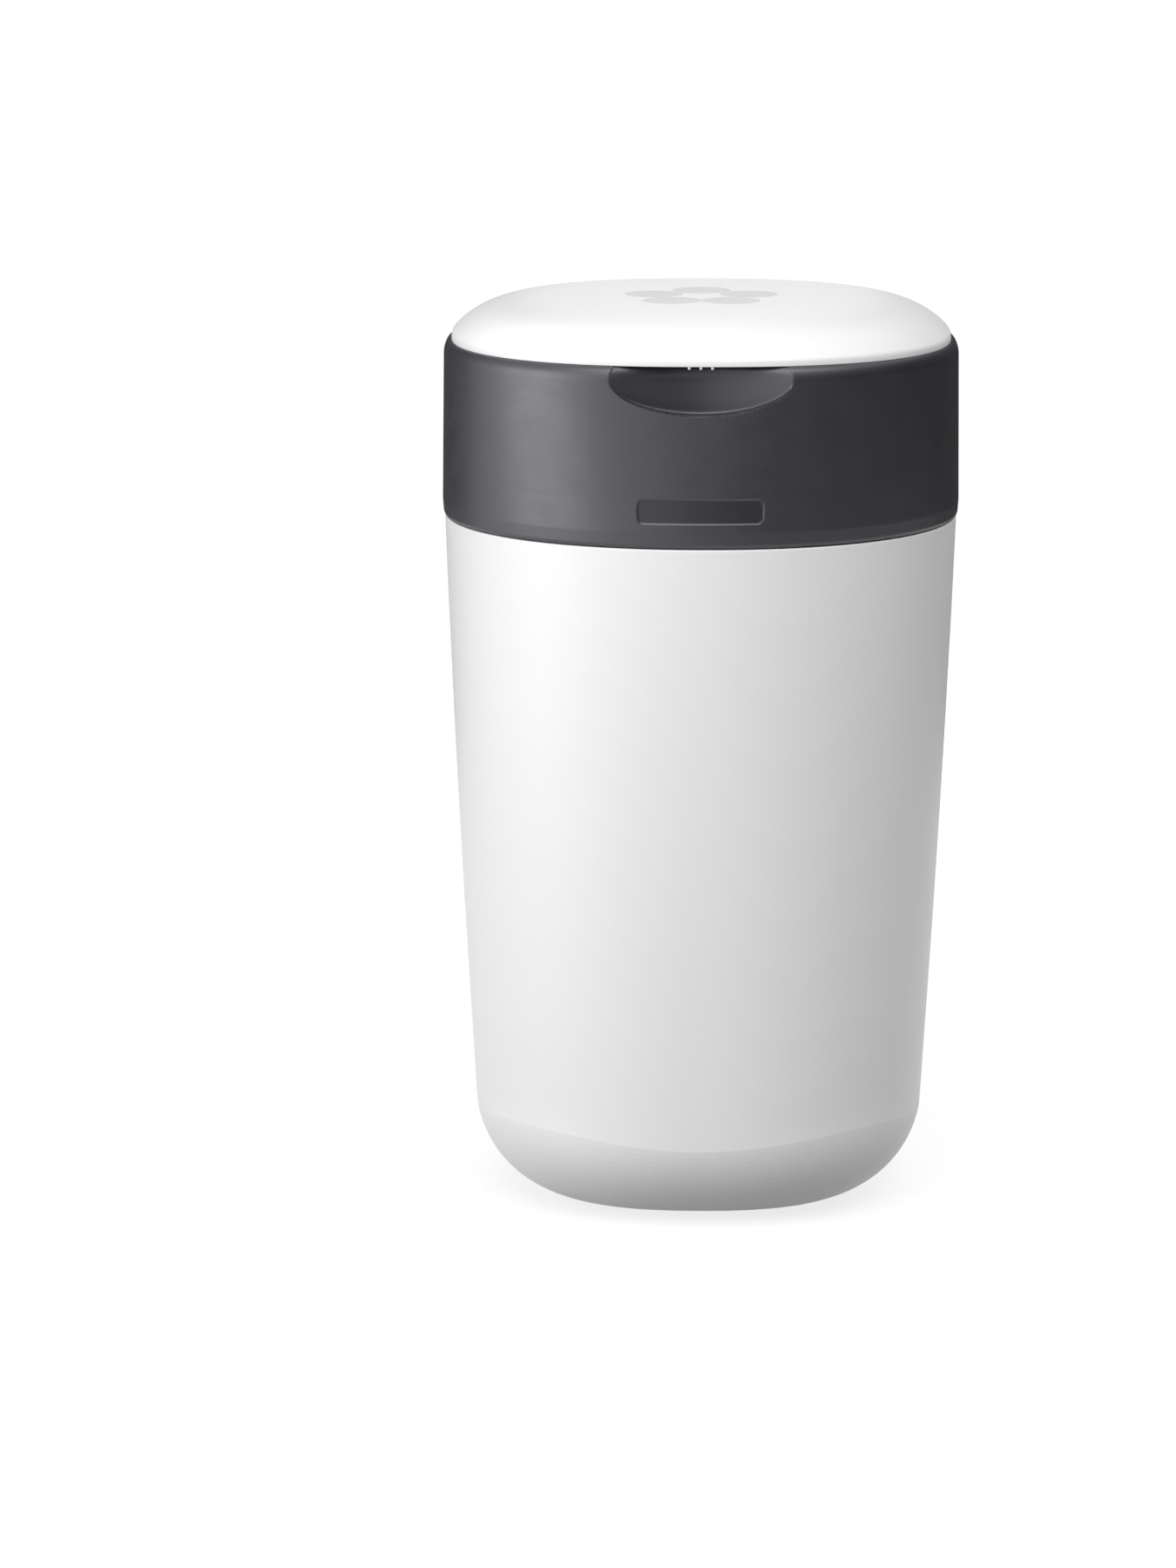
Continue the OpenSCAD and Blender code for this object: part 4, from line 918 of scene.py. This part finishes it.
def makeGripper(s):
    inner, outer, low, high = s["inner"], s["outer"], s["low"], s["high"]
    ring = spunMesh([(inner - 1.4, high - 0.4), (inner - 1.0, high), (outer - 0.4, high), (outer, high - 0.4),
                     (outer, low + 0.4), (outer - 0.4, low), (inner + 0.4, low), (inner - 1.4, low + 0.8),
                     (inner - 1.4, high - 0.4)], 144)
    # one finger, at radius zero: a tapering tongue with a raised rib along its middle
    work = bmesh.new()
    rows, across = 14, 8
    grid = {}
    for side in (0, 1):
        for i in range(rows + 1):
            t = i / rows
            r = mix(s["rootRadius"], s["tipRadius"], t)
            z = mix(high - 1.0, s["tipHeight"] + 0.5, t) + s["bow"] * math.sin(math.pi * t) * 0.6
            past = max(t - s["roundFrom"], 0) / (1.005 - s["roundFrom"])
            half = s["wide"] / 2 * mix(1, s["tipWide"], t) * math.sqrt(1 - past ** 2)
            for j in range(across + 1):
                u = j / across * 2 - 1
                lift = s["thick"] * mix(1, s["tipThick"], t) / 2 * (1 - 0.5 * abs(u) ** 3)
                lift = -lift if side else lift
                spot = Vector((r + lift * 0.6, u * half, z + lift * 0.8))
                grid[side, i, j] = work.verts.new(spot * mm)
    for i in range(rows):
        for j in range(across):
            for side in (0, 1):
                work.faces.new([grid[side, i + a, j + b] for a, b in ((0, 0), (1, 0), (1, 1), (0, 1))])
        for j in (0, across):
            work.faces.new([grid[0, i, j], grid[0, i + 1, j], grid[1, i + 1, j], grid[1, i, j]])
    for j in range(across):
        for i in (0, rows):
            work.faces.new([grid[0, i, j], grid[0, i, j + 1], grid[1, i, j + 1], grid[1, i, j]])
    bmesh.ops.remove_doubles(work, verts=work.verts, dist=5e-6)
    bmesh.ops.recalc_face_normals(work, faces=work.faces)
    bmesh.ops.translate(work, verts=work.verts, vec=(-s["at"] * mm, 0, 0))
    places = [(s["at"], i * 360 / s["count"], 0) for i in range(s["count"])]
    made = shade(joinMeshes([ring, copies(fromWork(work), places, softGrey)], softGrey), 50)
    piece("soft_gripper", made, "top_unit", "gripper")


def makeGatherTree():
    # gathered film: each profile point gives a ring, the push of its folds and how far it is wound round
    tree, given = newTree("gatheredFilm", {"Columns": "Int", "Folds": "Float", "Wander": "Float",
                                           "Crumple": "Float", "Seed": "Float", "Material": "Material"})
    grid, column, row = makeRings(tree, given)
    sampled = []
    for kind, label in (("FLOAT_VECTOR", "position"), ("FLOAT_VECTOR", "push"), ("FLOAT", "wind")):
        value = addNode(tree, "GeometryNodeInputNamedAttribute", {"Name": label}, {"data_type": kind})
        sampled.append(addNode(tree, "GeometryNodeSampleIndex",
                               {"Geometry": given["Geometry"], "Value": value, "Index": row},
                               {"data_type": kind, "clamp": True}))
    share = addNode(tree, maths, [column, given["Columns"]], "DIVIDE")
    turn = addNode(tree, maths, [share, 2 * math.pi], "MULTIPLY")
    cosine, sine = (addNode(tree, maths, [turn], kind) for kind in ("COSINE", "SINE"))
    # the noise is read on a circle, so that it meets itself, and shifts along the profile
    along = addNode(tree, vectorMaths, [sampled[0], (12, 0, 9)], "DOT_PRODUCT").outputs["Value"]
    at = addNode(tree, "ShaderNodeCombineXYZ", [cosine, sine, along])
    wander = addNode(tree, "ShaderNodeTexNoise",
                     {"Vector": at, "W": given["Seed"], "Scale": 3.2, "Detail": 1}, {"noise_dimensions": "4D"})
    phase = addNode(tree, maths, [wander, given["Wander"]], "MULTIPLY")
    phase = addNode(tree, maths, [share, given["Folds"], phase], "MULTIPLY_ADD")
    fold = addNode(tree, maths, [phase, 0.5], "PINGPONG")
    fold = addNode(tree, "ShaderNodeMapRange", [fold, 0.05, 0.45], {"interpolation_type": "SMOOTHSTEP"})
    crumple = addNode(tree, "ShaderNodeTexVoronoi", {"Vector": at, "W": given["Seed"], "Scale": 11.0},
                      {"feature": "F1", "voronoi_dimensions": "4D"})
    depth = addNode(tree, "ShaderNodeMix", {0: given["Crumple"], 2: fold, 3: crumple}, {"data_type": "FLOAT"})
    depth = addNode(tree, maths, [depth, 1.0], "MINIMUM")
    pushed = addNode(tree, vectorMaths, {0: sampled[1], "Scale": depth}, "SCALE")
    pushed = addNode(tree, vectorMaths, [pushed, sampled[0]], "ADD")
    wound = addNode(tree, maths, [turn, sampled[2]], "ADD")
    spot = addNode(tree, "ShaderNodeVectorRotate", {"Vector": pushed, "Angle": wound},
                   {"rotation_type": "Z_AXIS"})
    return closeRings(tree, given, grid, spot)


gatherTree = makeGatherTree()


def gather(points, columns, folds, wander, crumple, seed):
    # points are (radius, height, push outwards, push upwards, degrees wound round) in mm
    mesh = bpy.data.meshes.new("film")
    mesh.from_pydata([(p[0] * mm, 0, p[1] * mm) for p in points],
                     [(i, i + 1) for i in range(len(points) - 1)], [])
    mesh.attributes.new("push", "FLOAT_VECTOR", "POINT")
    mesh.attributes.new("wind", "FLOAT", "POINT")
    mesh.attributes["push"].data.foreach_set("vector", [c for p in points for c in (p[2] * mm, 0, p[3] * mm)])
    mesh.attributes["wind"].data.foreach_set("value", [math.radians(p[4]) for p in points])
    return grow(gatherTree, mesh, {"Columns": columns, "Folds": folds, "Wander": wander, "Crumple": crumple,
                                   "Seed": seed, "Material": mintFilm})


def refine(points, gap):
    # more points along a line, each value in step; values left out are nought
    points = [(*p, 0, 0, 0)[:5] for p in points]
    made = [points[0]]
    for last, here in zip(points, points[1:]):
        steps = max(1, math.ceil(math.hypot(here[0] - last[0], here[1] - last[1]) / gap))
        made += [tuple(mix(a, b, k / steps) for a, b in zip(last, here)) for k in range(1, steps + 1)]
    return made


# Film: the pleated store in the cassette, and the sleeve drawn over the tube, down to its knot.
# Columns, folds, how far the folds wander, how crumpled they are, and the seed.
filmSizes = dict(pack=(480, 96, 5.0, 0.45, 4.0), sleeve=(288, 36, 4.0, 0.3, 9.0), thickness=0.2)


def makeFilm(s):
    pack = [(49.3, 366.2, 0.3), (50.4, 366, 0, 0.4), (67.6, 366, -0.6, 0.4), (68.7, 368, -1.4),
            (68.7, 401, -1.4), (68.2, 404.6, -0.8, -1), (66.6, 406.6, -0.2, -2.6), (62, 407.2, 0, -3.2),
            (56, 407.3, 0, -3.4), (51.8, 406.9, 0.2, -2.6), (50.2, 405.4, 0.5, -1), (49.3, 403, 0.6),
            (49.3, 366.2, 0.3)]
    mesh = gather(refine(pack, 1.6), *s["pack"])
    piece("pleated_film_store", mesh, "twist_unit", "film_pack")
    sleeve = [(50.95, 406.7, -0.2), (50.95, 412, -0.35), (50.9, 420, -0.3), (50.5, 423.4, -0.2),
              (49.6, 424.9, 0, -0.1), (47.8, 425.15, 0, -0.1), (46.5, 424.6, 0, -0.2), (46.1, 423, -0.3),
              (46.1, 412, -1.2), (46.1, 390, -2.2), (46.1, 368, -3.2), (45.8, 356, -4),
              (43.5, 350, -4.6, 0, 2), (37, 343.5, -5, 0, 8), (30, 338.6, -5, 0, 18), (23, 333.8, -4.6, 0, 34),
              (16.5, 327, -3.8, 0, 62), (10.5, 320.5, -2.6, 0, 100), (6.2, 315.6, -1.4, 0, 140),
              (4, 312.8, -0.6, 0, 170),
              (3.6, 311, -0.4, 0, 184), (4.3, 308.8, -1, 0, 196), (7.2, 304.5, -3, 0, 206),
              (10.4, 298.5, -5, 0, 212), (12.7, 292.4, -6, 0, 216)]
    holder = newObject("holder", gather(refine(sleeve, 1.5), *s["sleeve"]))
    sheet = holder.modifiers.new("thickness", "SOLIDIFY")
    sheet.thickness = s["thickness"] * mm
    sheet.offset = -1
    made = settle(holder)
    made.shade_smooth()
    piece("drawn_film_sleeve", made, "twist_unit", "film_sleeve")


makeGripper(gripperSizes)
makeFilm(filmSizes)
print("gripper and film made")

plainNodes = {
    "tilt_rod": (drawnSteel, "base", "steel", 0.3),
    "tray": (satinCharcoal, "top_unit", "charcoal_satin", 0.4),
    "gripper_clamp": (satinCharcoal, "top_unit", "charcoal_satin", 0.3),
    "cutter_housing": (satinGrey, "top_unit", "grey_plastic", 0.4),
    "cutter_blade": (zincScrew, "top_unit", "steel", 0),
    "pawl_pin": (drawnSteel, "top_unit", "steel", 0.2),
    "click_pawl": (satinGrey, "pawl", "grey_plastic", 0.3),
    "carrier": (satinGrey, "twist_unit", "grey_plastic", 0.4),
    "twist_ring": (satinGrey, "twist_unit", "grey_plastic", 0.6),
    "cassette_case": (smokedClear, "twist_unit", "smoke_plastic", 0.3),
    "cassette_cover": (smokedGrey, "twist_unit", "grey_plastic", 0.4),
    "cassette_core": (smokedClear, "twist_unit", "smoke_plastic", 0.3),
    "lid_rod": (drawnSteel, "lid", "steel", 0.3),
}
for node, (material, body, slotName, width) in plainNodes.items():
    piece("dressed_" + node, cadCopy(node, width), body, node, material)
print("inner pieces dressed")
